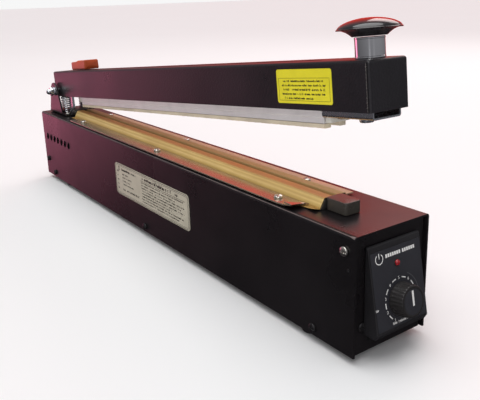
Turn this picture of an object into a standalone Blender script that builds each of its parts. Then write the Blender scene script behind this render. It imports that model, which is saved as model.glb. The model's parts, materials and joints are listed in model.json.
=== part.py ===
"""Impulse heat sealer with a hinged press arm, a sliding bag cutter and a timer dial.

Frame: +X runs along the body towards the control end, -Y is the long side with the
instruction plate, +Z is up and z = 0 is the bench.  Sizes are metres, written as
millimetres times MM.  Lengths along the body are first counted from the rear end of
the casing; the empty "bench" then moves everything so that the origin is the middle
of the footprint.  The press arm is drawn level, as when it seals, and its empty turns
it up to the open rest position.
"""
import math

import bmesh
import bpy
from mathutils import Matrix, Vector

MM = 0.001

# ---- driving dimensions --------------------------------------------------------
GAP = 0.3 * MM                      # clearance left between pieces that touch
SLIDE_GAP = 0.6 * MM                # and between pieces that slide past each other
INNER_BEND = 0.5 * MM               # inside radius of every fold in sheet metal

CASE_LENGTH = 557 * MM
CASE_WIDTH = 66 * MM
CASE_HEIGHT = 80 * MM
CASE_SHEET = 1.5 * MM
FOOT_HEIGHT = 5.5 * MM
FOOT_RADIUS = 7.5 * MM
FOOT_REAR_INSET = 60 * MM
FOOT_NEAR_INSET = 50 * MM
FOOT_SIDE_INSET = 10 * MM

END_RECESS = 2 * MM                 # end panels sit this far inside the casing
END_FLANGE = 13 * MM
TRAY_FLANGE = 11 * MM

SEAL_LINE = -3.5 * MM               # bar, arm and hinge share this line, off the casing's middle

PIVOT_X = 29 * MM                   # hinge bolt, from the casing's rear end
PIVOT_HEIGHT = 27.5 * MM            # and above the casing's top
PIVOT_RADIUS = 3 * MM
ARM_OPEN = math.radians(5.45)

ARM_BEHIND_PIVOT = 6.1 * MM
ARM_FRONT_INSET = 0.9 * MM          # arm's front end, from the casing's front end
ARM_WIDTH = 32.7 * MM
ARM_HEIGHT = 30.2 * MM
ARM_SHEET = 1.3 * MM
ARM_BELOW_PIVOT = 6.55 * MM

BAR_REAR_INSET = 72.6 * MM          # heater bar's ends, from the casing's ends
BAR_FRONT_INSET = 47.9 * MM
BAR_FOOT_WIDTH = 25 * MM
BAR_TOP_WIDTH = 18 * MM
BAR_HEIGHT = 6.5 * MM
BAR_GROOVE_WIDTH = 4.4 * MM         # the blade runs over this groove
BAR_GROOVE_DEPTH = 2.3 * MM
ELEMENT_WIDTH = 4 * MM
ELEMENT_THICKNESS = 0.3 * MM
CLOTH_THICKNESS = 0.3 * MM
CLOTH_TUCK = 5 * MM                 # cloth held under each clamp strip
BLOCK_LENGTH = 18.8 * MM
BLOCK_WIDTH = 14 * MM
BLOCK_SHIFT = 2 * MM                 # blocks sit this far in front of the seal line
BLOCK_HEIGHT = 8.4 * MM
STRIP_WIDTH = 14 * MM
STRIP_THICKNESS = 1 * MM
STRIP_START = 22.4 * MM             # strips' ends, from the bar's ends
STRIP_END = 11 * MM
STRIP_SCREW_MARGIN = 24 * MM
SCREW_STAGGER = 18 * MM              # back strip's screws sit this far behind the front one's

CHANNEL_WIDTH = 20 * MM             # press channel below the arm cover
CHANNEL_DEPTH = 9.2 * MM
CHANNEL_WALL = 2 * MM
CHANNEL_STEP = 5 * MM               # its foot is a little narrower below this depth
CHANNEL_STEP_INSET = 0.6 * MM
CHANNEL_REAR = 17.5 * MM            # channel's ends, from the bar's ends
CHANNEL_FRONT = -0.6 * MM
PAD_WIDTH = 6 * MM
PAD_THICKNESS = 3.1 * MM
PAD_SPACING = 13 * MM               # between the two pads' middles
BLADE_SLOT = 4 * MM
BLADE_THICKNESS = 0.8 * MM
BLADE_BELOW_PAD = 1.6 * MM
BLADE_AHEAD = 12 * MM               # blade's middle, in front of the grip's middle

KNOB_LENGTH = 42 * MM               # cutter grip
KNOB_WIDTH = 17.5 * MM
KNOB_HEIGHT = 10.5 * MM
KNOB_REAR_INSET = 66.4 * MM         # parked grip's middle, from the arm's rear end
SLOT_FRONT_INSET = 56 * MM          # arm slot's end, from the arm's front end
STEM_LENGTH = 18 * MM
STEM_WIDTH = 4 * MM

HANDLE_INSET = 14 * MM              # handle column's axis, from the arm's front end
COLUMN_RADIUS = 9.2 * MM
COLUMN_HEIGHT = 12.2 * MM
STUD_RADIUS = 4 * MM
STUD_LENGTH = 9 * MM
CAP_RADIUS = 19.7 * MM
CAP_DOME = 6.2 * MM
CAP_FLARE = 4.5 * MM

EAR_SPREAD = 41 * MM                # hinge bracket, over its two ears
EAR_THICKNESS = 2 * MM
EAR_TOP_RADIUS = 10.5 * MM
BRACKET_REAR = 21 * MM              # base plate's ends and the ear's foot, from the pivot
BRACKET_FRONT = 33 * MM
EAR_FOOT_FRONT = 21.5 * MM
BRACKET_SCREW_INSET = 5.5 * MM
NUT_ACROSS_CORNERS = 10.4 * MM
NUT_THICKNESS = 5 * MM
DOME_RADIUS = 3.5 * MM
DOME_HEIGHT = 4.5 * MM
SPRING_AHEAD = 13 * MM              # springs' axes, in front of the pivot
SPRING_SPACING = 22 * MM
SPRING_WIRE = 1.5 * MM
SPRING_DIAMETER = 12 * MM           # over the wire
SPRING_TURNS = 9

LEVER_BLOCK_AHEAD = 27 * MM         # arm's hinge block ends this far in front of the pivot
LEVER_BLOCK_HEIGHT = 14 * MM
LEVER_AHEAD = 6 * MM                # its tongue's front edge, from the pivot
LEVER_THICKNESS = 3 * MM
LEVER_BELOW_TOP = 13.5 * MM         # tongue's tip, below the casing's top
SWITCH_BELOW_TOP = 10 * MM          # and the switch's plunger
PLUNGER_RADIUS = 2 * MM
PLUNGER_LENGTH = 12 * MM

CONSOLE_WIDTH = 46 * MM
CONSOLE_TOP = 71 * MM             # heights above the casing's lower edge
CONSOLE_BOTTOM = 16.5 * MM
CONSOLE_LIP = 4 * MM
CONSOLE_TOP_DEPTH = 2.5 * MM          # depths in front of the end panel
CONSOLE_BOTTOM_DEPTH = 12.5 * MM
CONSOLE_WALL = 1.4 * MM
WINDOW_MARGIN = 5 * MM
DIAL_DOWN = 38 * MM               # down the sloping face, from its top edge
DIAL_RADIUS = 10.8 * MM
DIAL_HEIGHT = 10 * MM
DIAL_EDGE = 0.8 * MM                # size of its rounded rim
SHAFT_RADIUS = 3 * MM
LAMP_DOWN = 14.5 * MM
LAMP_RADIUS = 2.1 * MM
BOARD_BEHIND = 10 * MM              # timer board, behind the console's face
BOARD_THICKNESS = 1.6 * MM
BOARD_CLEAR = 1 * MM                # round the board, inside the panel's window

CORE_FROM_END = 100 * MM            # transformer's middle, from the casing's front end
CORE_LENGTH = 60 * MM
CORE_DEPTH = 28 * MM
CORE_HEIGHT = 48 * MM
CORE_LIMB = 10 * MM
COIL_OVERHANG = 8 * MM
LEAD_RADIUS = 1.3 * MM

SCREW_HEAD_RADIUS = 3.2 * MM
SCREW_HEAD_HEIGHT = 2.2 * MM
SCREW_RADIUS = 1.5 * MM
SCREW_LENGTH = 7 * MM
SCREW_HOLE_RADIUS = 1.9 * MM

GLAND_BORE_RADIUS = 3.6 * MM
GLAND_RADIUS = 6 * MM
GLAND_FLANGE_RADIUS = 8 * MM
GLAND_REACH = 6 * MM                # how far it stands out behind the casing
GLAND_HEIGHT = 22 * MM

# ---- places worked out from them ------------------------------------------------
HALF_WIDTH = CASE_WIDTH / 2
CASE_FOOT = FOOT_HEIGHT
CASE_TOP = CASE_FOOT + CASE_HEIGHT
INNER_HALF = HALF_WIDTH - CASE_SHEET - GAP
REAR_PANEL = END_RECESS
FRONT_PANEL = CASE_LENGTH - END_RECESS
PIVOT = Vector((PIVOT_X, SEAL_LINE, CASE_TOP + PIVOT_HEIGHT))

ARM_REAR = PIVOT_X - ARM_BEHIND_PIVOT
ARM_FRONT = CASE_LENGTH - ARM_FRONT_INSET
LEVER_BEHIND = ARM_BEHIND_PIVOT - ARM_SHEET - GAP   # tongue's rear edge, from the pivot
ARM_HALF = ARM_WIDTH / 2
ARM_BOTTOM = PIVOT.z - ARM_BELOW_PIVOT
ARM_TOP = ARM_BOTTOM + ARM_HEIGHT
HANDLE_X = ARM_FRONT - HANDLE_INSET

BAR_START = BAR_REAR_INSET
BAR_END = CASE_LENGTH - BAR_FRONT_INSET
BAR_BOTTOM = CASE_TOP + GAP
BAR_TOP = BAR_BOTTOM + BAR_HEIGHT
ELEMENT_BOTTOM = BAR_TOP + GAP
CLOTH_BOTTOM = ELEMENT_BOTTOM + ELEMENT_THICKNESS + GAP
CLOTH_TOP = CLOTH_BOTTOM + CLOTH_THICKNESS
CLOTH_HALF = BAR_FOOT_WIDTH / 2 + 2 * GAP
STRIP_INNER = CLOTH_HALF + CLOTH_THICKNESS + GAP
STRIP_BOTTOM = CASE_TOP + CLOTH_THICKNESS + 2 * GAP
STRIP_TOP = STRIP_BOTTOM + STRIP_THICKNESS
STRIP_MIDDLE = STRIP_INNER + STRIP_WIDTH / 2

CHANNEL_HALF = CHANNEL_WIDTH / 2
CHANNEL_BOTTOM = ARM_BOTTOM - CHANNEL_DEPTH
CHANNEL_START = BAR_START + CHANNEL_REAR
CHANNEL_END = BAR_END + CHANNEL_FRONT
PAD_BOTTOM = CHANNEL_BOTTOM - GAP - PAD_THICKNESS

KNOB_PARKED = ARM_REAR + KNOB_REAR_INSET
ARM_SLOT_START = KNOB_PARKED - STEM_LENGTH / 2 - SLIDE_GAP
ARM_SLOT_END = ARM_FRONT - SLOT_FRONT_INSET

CONSOLE_HALF = CONSOLE_WIDTH / 2
CONSOLE_SLOPE = math.atan2(CONSOLE_BOTTOM_DEPTH - CONSOLE_TOP_DEPTH, CONSOLE_TOP - CONSOLE_BOTTOM)
FACE_NORMAL = Vector((math.cos(CONSOLE_SLOPE), 0, math.sin(CONSOLE_SLOPE)))
FACE_DOWN = Vector((math.sin(CONSOLE_SLOPE), 0, -math.cos(CONSOLE_SLOPE)))
FACE_TOP = Vector((FRONT_PANEL + CONSOLE_TOP_DEPTH, 0, CASE_FOOT + CONSOLE_TOP))
DIAL_CENTRE = FACE_TOP + FACE_DOWN * DIAL_DOWN
LAMP_CENTRE = FACE_TOP + FACE_DOWN * LAMP_DOWN

REAR_REACH = -GLAND_REACH
DIAL_LOW_EDGE = FACE_NORMAL * (DIAL_HEIGHT + GAP) + FACE_DOWN * (DIAL_RADIUS - 2 * DIAL_EDGE)
FRONT_REACH = (DIAL_CENTRE + DIAL_LOW_EDGE).x
MIDDLE_X = (REAR_REACH + FRONT_REACH) / 2

TO_X = Matrix.Rotation(math.radians(90), 4, "Y")       # local +Z turned to +X
TO_FRONT = Matrix.Rotation(math.radians(90), 4, "X")   # local +Z turned to -Y
TO_BACK = Matrix.Rotation(math.radians(-90), 4, "X")   # local +Z turned to +Y
TO_FACE = Matrix.Rotation(math.radians(90) - CONSOLE_SLOPE, 4, "Y")
SECTION_TO_X = Matrix(((0, 0, 1, 0), (1, 0, 0, 0), (0, 1, 0, 0), (0, 0, 0, 1)))   # local XY to YZ


# ---- scene, frames and materials --------------------------------------------------
def clear_scene():
    for obj in list(bpy.data.objects):
        bpy.data.objects.remove(obj)


def new_collection(name):
    collection = bpy.data.collections.new(name)
    bpy.context.scene.collection.children.link(collection)
    return collection


def new_frame(name, parent, origin, parent_origin=Vector(), turn=Matrix()):
    """An empty on a joint's axis; pieces in the frame still give bench coordinates."""
    empty = bpy.data.objects.new(name, None)
    PARTS.objects.link(empty)
    empty.parent = parent
    empty.matrix_local = Matrix.Translation(Vector(origin) - parent_origin) @ turn
    return {"empty": empty, "origin": Vector(origin)}


def material(name, colour, roughness, metallic=0.0):
    mat = bpy.data.materials.new(name)
    mat.use_nodes = True
    shader = mat.node_tree.nodes["Principled BSDF"]
    shader.inputs["Base Color"].default_value = (*colour, 1)
    shader.inputs["Roughness"].default_value = roughness
    shader.inputs["Metallic"].default_value = metallic
    return mat


def adopt(name, mesh, frame, place, mat):
    """Links a mesh as a named piece, or as a cutter when it has no material."""
    obj = bpy.data.objects.new(name, mesh)
    (CUTTERS if mat is None else PARTS).objects.link(obj)
    obj.parent = frame["empty"]
    obj.matrix_local = Matrix.Translation(-frame["origin"]) @ place
    if mat is None:
        obj.hide_render = True
        obj.display_type = "WIRE"
    else:
        mesh.materials.clear()
        mesh.materials.append(mat)
    return obj


def take_mesh(obj):
    """The mesh of an object that an operator has just made, with the object removed."""
    mesh = obj.data
    bpy.data.objects.remove(obj)
    return mesh


# ---- shapes -------------------------------------------------------------------------
def cube_mesh(low, high):
    bpy.ops.mesh.primitive_cube_add(size=1)
    mesh = take_mesh(bpy.context.object)
    size = [h - l for l, h in zip(low, high)]
    mesh.transform(Matrix.Diagonal((*size, 1)))
    return mesh


def middle(low, high):
    return Matrix.Translation((Vector(low) + Vector(high)) / 2)


def round_edges(obj, width, segments=2):
    bevel = obj.modifiers.new("rounded_edges", "BEVEL")
    bevel.width = width
    bevel.segments = segments
    bevel.limit_method = "ANGLE"
    bevel.angle_limit = math.radians(50)


def box(name, low, high, frame, mat=None, rounding=0.0):
    obj = adopt(name, cube_mesh(low, high), frame, middle(low, high), mat)
    if rounding:
        round_edges(obj, rounding)
    return obj


def cylinder(name, radius, length, frame, place, mat=None, vertices=20):
    """A round bar that starts at the place's origin and runs along its +Z."""
    bpy.ops.mesh.primitive_cylinder_add(vertices=vertices, radius=radius, depth=length)
    mesh = take_mesh(bpy.context.object)
    mesh.transform(Matrix.Translation((0, 0, length / 2)))
    return adopt(name, mesh, frame, place, mat)


def turned(name, profile, frame, place, mat=None, steps=24):
    """A lathe shape: (radius, height) pairs from its top, down its outer side."""
    mesh = bpy.data.meshes.new(name)
    points = [(radius, 0, height) for radius, height in profile]
    mesh.from_pydata(points, [(i, i + 1) for i in range(len(points) - 1)], [])
    obj = adopt(name, mesh, frame, place, mat)
    screw = obj.modifiers.new("turn", "SCREW")
    screw.steps = screw.render_steps = steps
    screw.use_merge_vertices = True
    screw.merge_threshold = 0.01 * MM
    screw.use_smooth_shade = True
    return obj


def arc(centre, radius, start, end, pieces):
    """Points on a circle, from one angle in degrees to another."""
    angles = [math.radians(start + (end - start) * i / pieces) for i in range(pieces + 1)]
    return [(centre[0] + radius * math.cos(a), centre[1] + radius * math.sin(a)) for a in angles]


def outline_solid(name, outline, thickness, frame, place, mat=None):
    """A flat outline in the place's XY plane, as thick as told, centred on that plane."""
    curve = bpy.data.curves.new(name, "CURVE")
    curve.dimensions = "2D"
    curve.fill_mode = "BOTH"
    curve.extrude = thickness / 2
    spline = curve.splines.new("POLY")
    spline.points.add(len(outline) - 1)
    for point, (x, y) in zip(spline.points, outline):
        point.co = (x, y, 0, 1)
    spline.use_cyclic_u = True
    return adopt(name, mesh_of_curve(name, curve), frame, place, mat)


def mesh_of_curve(name, curve):
    """The curve's surface as a mesh with its caps welded on."""
    guide = bpy.data.objects.new(name + "_guide", curve)
    bpy.context.scene.collection.objects.link(guide)
    bpy.context.view_layer.update()
    graph = bpy.context.evaluated_depsgraph_get()
    mesh = bpy.data.meshes.new_from_object(guide.evaluated_get(graph))
    bpy.data.objects.remove(guide)
    work = bmesh.new()
    work.from_mesh(mesh)
    bmesh.ops.remove_doubles(work, verts=work.verts, dist=0.001 * MM)
    bmesh.ops.recalc_face_normals(work, faces=work.faces)
    work.to_mesh(mesh)
    work.free()
    return mesh


def tube(name, points, radius, frame, mat, resolution=2):
    """A round wire through the points, with closed ends."""
    curve = bpy.data.curves.new(name, "CURVE")
    curve.dimensions = "3D"
    curve.bevel_depth = radius
    curve.bevel_resolution = resolution
    curve.use_fill_caps = True
    spline = curve.splines.new("POLY")
    spline.points.add(len(points) - 1)
    for point, place in zip(spline.points, points):
        point.co = (*place, 1)
    obj = adopt(name, mesh_of_curve(name, curve), frame, Matrix(), mat)
    obj.data.shade_smooth()
    return obj


def smooth_route(points, pieces):
    """A Catmull-Rom curve through the points, with that many pieces to each stretch."""
    ends = [2 * points[0] - points[1], *points, 2 * points[-1] - points[-2]]
    route = []
    for a, b, c, d in zip(ends, ends[1:], ends[2:], ends[3:]):
        for step in range(pieces):
            t = step / pieces
            route.append(0.5 * (2 * b + (c - a) * t + (2 * a - 5 * b + 4 * c - d) * t ** 2
                                + (3 * b - a - 3 * c + d) * t ** 3))
    return route + [points[-1]]


def folded_sheet(name, low, high, open_sides, sheet, frame, mat):
    """A box of sheet metal; open_sides are the outward directions that have no wall."""
    mesh = cube_mesh(low, high)
    work = bmesh.new()
    work.from_mesh(mesh)
    gone = [f for f in work.faces if any(f.normal.dot(Vector(side)) > 0.9 for side in open_sides)]
    bmesh.ops.delete(work, geom=gone, context="FACES")
    work.to_mesh(mesh)
    work.free()
    obj = adopt(name, mesh, frame, middle(low, high), mat)
    round_edges(obj, sheet + INNER_BEND, segments=3)
    solidify = obj.modifiers.new("sheet", "SOLIDIFY")
    solidify.thickness = sheet
    solidify.offset = -1
    solidify.use_even_offset = True
    return obj


def draped_sheet(name, section, start, end, thickness, frame, mat):
    """An open section in Y and Z, counted from the seal line, carried along X and given its thickness."""
    work = bmesh.new()
    verts = [work.verts.new((start, SEAL_LINE + y, z)) for y, z in section]
    edges = [work.edges.new(pair) for pair in zip(verts, verts[1:])]
    new = bmesh.ops.extrude_edge_only(work, edges=edges)["geom"]
    moved = [v for v in new if isinstance(v, bmesh.types.BMVert)]
    bmesh.ops.translate(work, verts=moved, vec=(end - start, 0, 0))
    for face in work.faces:
        if face.normal.z < 0:
            face.normal_flip()
    mesh = bpy.data.meshes.new(name)
    work.to_mesh(mesh)
    work.free()
    obj = adopt(name, mesh, frame, Matrix(), mat)
    solidify = obj.modifiers.new("cloth", "SOLIDIFY")
    solidify.thickness = thickness
    solidify.offset = 1
    solidify.use_even_offset = True
    return obj


def run_section(name, section, start, end, frame, mat=None):
    """A closed outline in Y and Z, counted from the seal line, carried from start to end along X."""
    outline = [(SEAL_LINE + y, z) for y, z in section]
    place = Matrix.Translation(((start + end) / 2, 0, 0)) @ SECTION_TO_X
    return outline_solid(name, outline, end - start, frame, place, mat)


def combine(obj, other, operation="DIFFERENCE"):
    """Cuts the other object out of this one, joins it, or keeps what they share."""
    change = obj.modifiers.new(operation.lower(), "BOOLEAN")
    change.operation = operation
    change.solver = "EXACT"
    change.object = other


def along(direction, x, y, z):
    return Matrix.Translation((x, y, z)) @ direction


def pan_screw(name, frame, place, mat, length=SCREW_LENGTH):
    """A pan-head screw: its head stands on the place's origin, its shank goes down."""
    head = [(0, SCREW_HEAD_HEIGHT), (0.45 * SCREW_HEAD_RADIUS, 0.95 * SCREW_HEAD_HEIGHT),
            (0.85 * SCREW_HEAD_RADIUS, 0.7 * SCREW_HEAD_HEIGHT), (SCREW_HEAD_RADIUS, 0.25 * SCREW_HEAD_HEIGHT),
            (SCREW_HEAD_RADIUS, GAP)]
    shank = [(SCREW_RADIUS, GAP), (SCREW_RADIUS, SCREW_RADIUS - length), (0, -length)]
    return turned(name, head + shank, frame, place, mat, steps=12)


# ---- base: casing, end panels, tray and feet ------------------------------------------
VENT_COUNT = 7
VENT_PITCH = 12 * MM
VENT_START = 14 * MM
VENT_SIZE = (1.8 * MM, 7 * MM)
VENT_HEIGHT = 50 * MM


def base_casing(bench, paint):
    casing = folded_sheet("base_casing", (0, -HALF_WIDTH, CASE_FOOT), (CASE_LENGTH, HALF_WIDTH, CASE_TOP),
                          [(1, 0, 0), (-1, 0, 0), (0, 0, -1)], CASE_SHEET, bench, paint)
    combine(casing, box("lever_slot_cut", *lever_slot(), bench))
    for end, x in block_places():
        combine(casing, top_hole(f"{end}_lead_hole_cut", x, SEAL_LINE, 3 * MM, bench))
    for name, x, z in case_screw_places():
        hole = cylinder(name + "_hole_cut", SCREW_HOLE_RADIUS, CASE_WIDTH + 4 * MM, bench,
                        along(TO_FRONT, x, HALF_WIDTH + 2 * MM, z), vertices=12)
        combine(casing, hole)
    for name, x, y in strip_screw_places() + bracket_screw_places():
        combine(casing, top_hole(name + "_hole_cut", x, y, SCREW_HOLE_RADIUS, bench))
    width, height = VENT_SIZE
    for number in range(VENT_COUNT):
        x = VENT_START + VENT_PITCH * number
        combine(casing, box(f"vent_{number}_cut", (x, -CASE_WIDTH, CASE_FOOT + VENT_HEIGHT - height / 2),
                            (x + width, CASE_WIDTH, CASE_FOOT + VENT_HEIGHT + height / 2), bench))
    return casing


def top_hole(name, x, y, radius, bench):
    """A hole down through the casing's top, or through a thin piece lying on it."""
    return cylinder(name, radius, 3 * CASE_SHEET + 6 * MM, bench,
                    Matrix.Translation((x, y, CASE_TOP - 2 * CASE_SHEET)), vertices=12)


def lever_slot():
    """Corners of the slot that the arm's lever hangs through."""
    swing = PIVOT_HEIGHT * math.sin(ARM_OPEN)
    margin = 2 * MM
    half_width = LEVER_THICKNESS / 2 + margin
    low = (PIVOT_X - LEVER_BEHIND - margin, SEAL_LINE - half_width, CASE_TOP - 3 * MM)
    high = (PIVOT_X + LEVER_AHEAD + swing + margin, SEAL_LINE + half_width, CASE_TOP + 4 * MM)
    return low, high


def case_screw_places():
    """(name, x, z) of the screws in each long side: three for the tray, one for each end panel."""
    tray_z = CASE_FOOT + TRAY_FLANGE / 2
    flange = END_RECESS + END_FLANGE / 2
    return [("tray_screw_rear", 29 * MM, tray_z),
            ("tray_screw_middle", CASE_LENGTH / 2, tray_z),
            ("tray_screw_near", CASE_LENGTH - 37 * MM, tray_z),
            ("rear_panel_screw", flange, CASE_FOOT + 20 * MM),
            ("front_panel_screw", CASE_LENGTH - flange, CASE_TOP - 11 * MM)]


def case_screws(bench, black, nickel):
    for name, x, z in case_screw_places():
        finish = nickel if name == "front_panel_screw" else black
        pan_screw(name + "_front", bench, along(TO_FRONT, x, -HALF_WIDTH, z), finish)
        pan_screw(name + "_back", bench, along(TO_BACK, x, HALF_WIDTH, z), finish)


def bottom_plate(bench, steel):
    start = REAR_PANEL + CASE_SHEET + GAP
    end = FRONT_PANEL - CASE_SHEET - GAP
    low = (start, -INNER_HALF, CASE_FOOT + GAP)
    high = (end, INNER_HALF, CASE_FOOT + TRAY_FLANGE)
    tray = folded_sheet("bottom_plate", low, high, [(1, 0, 0), (-1, 0, 0), (0, 0, 1)],
                        CASE_SHEET, bench, steel)
    for name, x, z in case_screw_places()[:3]:
        hole = cylinder(name + "_tray_hole_cut", SCREW_HOLE_RADIUS, CASE_WIDTH, bench,
                        along(TO_FRONT, x, HALF_WIDTH, z), vertices=12)
        combine(tray, hole)
    return tray


def end_panel(name, face, inward, screw_x, screw_z, bench, paint):
    """A panel bent back along both sides; inward is +1 at the rear and -1 at the front."""
    back = face + inward * END_FLANGE
    low = (min(face, back), -INNER_HALF, CASE_FOOT + GAP)
    high = (max(face, back), INNER_HALF, CASE_TOP - CASE_SHEET - GAP)
    panel = folded_sheet(name, low, high, [(inward, 0, 0), (0, 0, 1), (0, 0, -1)],
                         CASE_SHEET, bench, paint)
    notch_ends = sorted((face + inward * (CASE_SHEET + GAP / 2), face + inward * 2 * END_FLANGE))
    notch = box(name + "_notch_cut", (notch_ends[0], -HALF_WIDTH, CASE_FOOT - 1 * MM),
                (notch_ends[1], HALF_WIDTH, CASE_FOOT + TRAY_FLANGE + 1 * MM), bench)
    combine(panel, notch)
    hole = cylinder(name + "_screw_hole_cut", SCREW_HOLE_RADIUS, CASE_WIDTH, bench,
                    along(TO_FRONT, screw_x, HALF_WIDTH, screw_z), vertices=12)
    combine(panel, hole)
    return panel


def rear_end_panel(bench, paint):
    _, x, z = case_screw_places()[3]
    panel = end_panel("rear_end_panel", REAR_PANEL, 1, x, z, bench, paint)
    combine(panel, cylinder("gland_hole_cut", GLAND_RADIUS + GAP, 8 * MM, bench,
                            along(TO_X, REAR_PANEL - 3 * MM, 0, CASE_FOOT + GLAND_HEIGHT)))
    return panel


def front_end_panel(bench, paint):
    _, x, z = case_screw_places()[4]
    panel = end_panel("front_end_panel", FRONT_PANEL, -1, x, z, bench, paint)
    window = CONSOLE_HALF - WINDOW_MARGIN
    low = (FRONT_PANEL - 4 * MM, -window, CASE_FOOT + CONSOLE_BOTTOM + WINDOW_MARGIN)
    high = (FRONT_PANEL + 4 * MM, window, CASE_FOOT + CONSOLE_TOP - WINDOW_MARGIN)
    combine(panel, box("console_window_cut", low, high, bench))
    return panel


def cord_gland(bench, rubber):
    """The bush that a supply cord would pass through, at the rear."""
    nose = GLAND_REACH + REAR_PANEL
    flange = 2.5 * MM + GAP
    inside = -5 * MM
    profile = [(GLAND_BORE_RADIUS, nose), (GLAND_RADIUS - 1.2 * MM, nose), (GLAND_RADIUS, flange),
               (GLAND_FLANGE_RADIUS, flange), (GLAND_FLANGE_RADIUS, GAP), (GLAND_RADIUS, GAP),
               (GLAND_RADIUS, inside), (GLAND_BORE_RADIUS, inside), (GLAND_BORE_RADIUS, nose)]
    to_rear = Matrix.Rotation(math.radians(-90), 4, "Y")
    return turned("cord_gland", profile, bench, along(to_rear, REAR_PANEL, 0, CASE_FOOT + GLAND_HEIGHT),
                  rubber, steps=16)


def feet(bench, rubber):
    """Tapered rubber feet, each with a recess for its screw."""
    top = CASE_FOOT
    recess = 0.4 * top
    profile = [(0, top), (FOOT_RADIUS - 0.8 * MM, top), (FOOT_RADIUS, 0.75 * top), (FOOT_RADIUS - 1.2 * MM, 0),
               (0.35 * FOOT_RADIUS, 0), (0.3 * FOOT_RADIUS, recess), (0, recess)]
    for end, x in (("rear", FOOT_REAR_INSET), ("near", CASE_LENGTH - FOOT_NEAR_INSET)):
        for side, y in (("front", FOOT_SIDE_INSET - HALF_WIDTH), ("back", HALF_WIDTH - FOOT_SIDE_INSET)):
            turned(f"foot_{end}_{side}", profile, bench, Matrix.Translation((x, y, 0)), rubber, steps=20)


# ---- control console, lamp, timer and switch ---------------------------------------------
def console_outline(inset):
    """Side view of the wedge; a positive inset gives the hollow inside it, open at the back."""
    slope_x = CONSOLE_BOTTOM_DEPTH - CONSOLE_TOP_DEPTH

    def face_x(z):
        depth = CONSOLE_TOP_DEPTH + (CONSOLE_TOP - z) / (CONSOLE_TOP - CONSOLE_BOTTOM) * slope_x
        return FRONT_PANEL + depth - inset / math.cos(CONSOLE_SLOPE)

    back = FRONT_PANEL - 3 * MM if inset else FRONT_PANEL + GAP
    high = CONSOLE_TOP - inset
    low = CONSOLE_BOTTOM - CONSOLE_LIP + inset
    return [(back, high), (face_x(high), high), (face_x(CONSOLE_BOTTOM), CONSOLE_BOTTOM),
            (face_x(CONSOLE_BOTTOM) - 0.6 * CONSOLE_LIP, low), (back, low)]


def control_console(bench, paint):
    upright = along(TO_FRONT, 0, 0, CASE_FOOT)
    console = outline_solid("control_console", console_outline(0), CONSOLE_WIDTH, bench, upright, paint)
    round_edges(console, 0.9 * MM)
    hollow = outline_solid("console_hollow_cut", console_outline(CONSOLE_WALL),
                           CONSOLE_WIDTH - 2 * CONSOLE_WALL, bench, upright)
    combine(console, hollow)
    for name, centre, radius in (("shaft_hole_cut", DIAL_CENTRE, SHAFT_RADIUS + SLIDE_GAP),
                                 ("lamp_hole_cut", LAMP_CENTRE, LAMP_RADIUS + GAP)):
        start = centre - FACE_NORMAL * 5 * MM
        combine(console, cylinder(name, radius, 10 * MM, bench, along(TO_FACE, *start)))
    return console


def lamp_lens(bench, red):
    profile = [(0, 2 * MM), (0.55 * LAMP_RADIUS, 1.7 * MM), (0.9 * LAMP_RADIUS, 0.9 * MM),
               (LAMP_RADIUS, 0), (LAMP_RADIUS, -4 * MM), (0, -4 * MM)]
    return turned("lamp_lens", profile, bench, along(TO_FACE, *LAMP_CENTRE), red, steps=16)


def timer_knob(dial, plastic):
    """The dial with its shaft, turning on the axis square to the console face."""
    edge = DIAL_EDGE
    top = DIAL_HEIGHT + GAP
    profile = [(0, top), (DIAL_RADIUS - 2 * edge, top), (DIAL_RADIUS - edge, top - edge / 2),
               (DIAL_RADIUS - 0.6 * edge, top - 1.5 * edge), (DIAL_RADIUS, 2 * MM), (DIAL_RADIUS, GAP),
               (SHAFT_RADIUS, GAP), (SHAFT_RADIUS, -9 * MM), (0, -9 * MM)]
    return turned("timer_knob", profile, dial, along(TO_FACE, *DIAL_CENTRE), plastic, steps=32)


def timer_board(bench, laminate):
    """Board behind the console's face with its potentiometer, relay and capacitor."""
    face = along(TO_FACE, *DIAL_CENTRE)

    def block(name, low, high, mat=None):
        return adopt(name, cube_mesh(low, high), bench, face @ middle(low, high), mat)

    top = -BOARD_BEHIND
    bottom = top - BOARD_THICKNESS
    half = CONSOLE_HALF - WINDOW_MARGIN - BOARD_CLEAR
    window_drop = DIAL_CENTRE.z - (CASE_FOOT + CONSOLE_BOTTOM + WINDOW_MARGIN)
    lean = math.sin(CONSOLE_SLOPE) * (BOARD_BEHIND + BOARD_THICKNESS)
    low_edge = (window_drop - lean - BOARD_CLEAR) / math.cos(CONSOLE_SLOPE)
    board = block("timer_board", (-26 * MM, -half, bottom), (low_edge, half, top), laminate)
    relay = block("relay_join", (-24 * MM, -0.85 * half, bottom - 12 * MM), (-6 * MM, -0.1 * half, bottom + 1 * MM))
    can = cylinder("capacitor_join", 0.3 * half, 11 * MM, bench,
                   face @ Matrix.Translation((-14 * MM, 0.5 * half, bottom - 10 * MM)))
    pot = cylinder("potentiometer_join", 8 * MM, BOARD_BEHIND - CONSOLE_WALL, bench,
                   face @ Matrix.Translation((0, 0, top - 1 * MM)))
    for other in (relay, can, pot):
        combine(board, other, "UNION")
    combine(board, cylinder("potentiometer_bore_cut", SHAFT_RADIUS + GAP, 20 * MM, bench,
                            face @ Matrix.Translation((0, 0, -10 * MM))))
    return board


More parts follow.
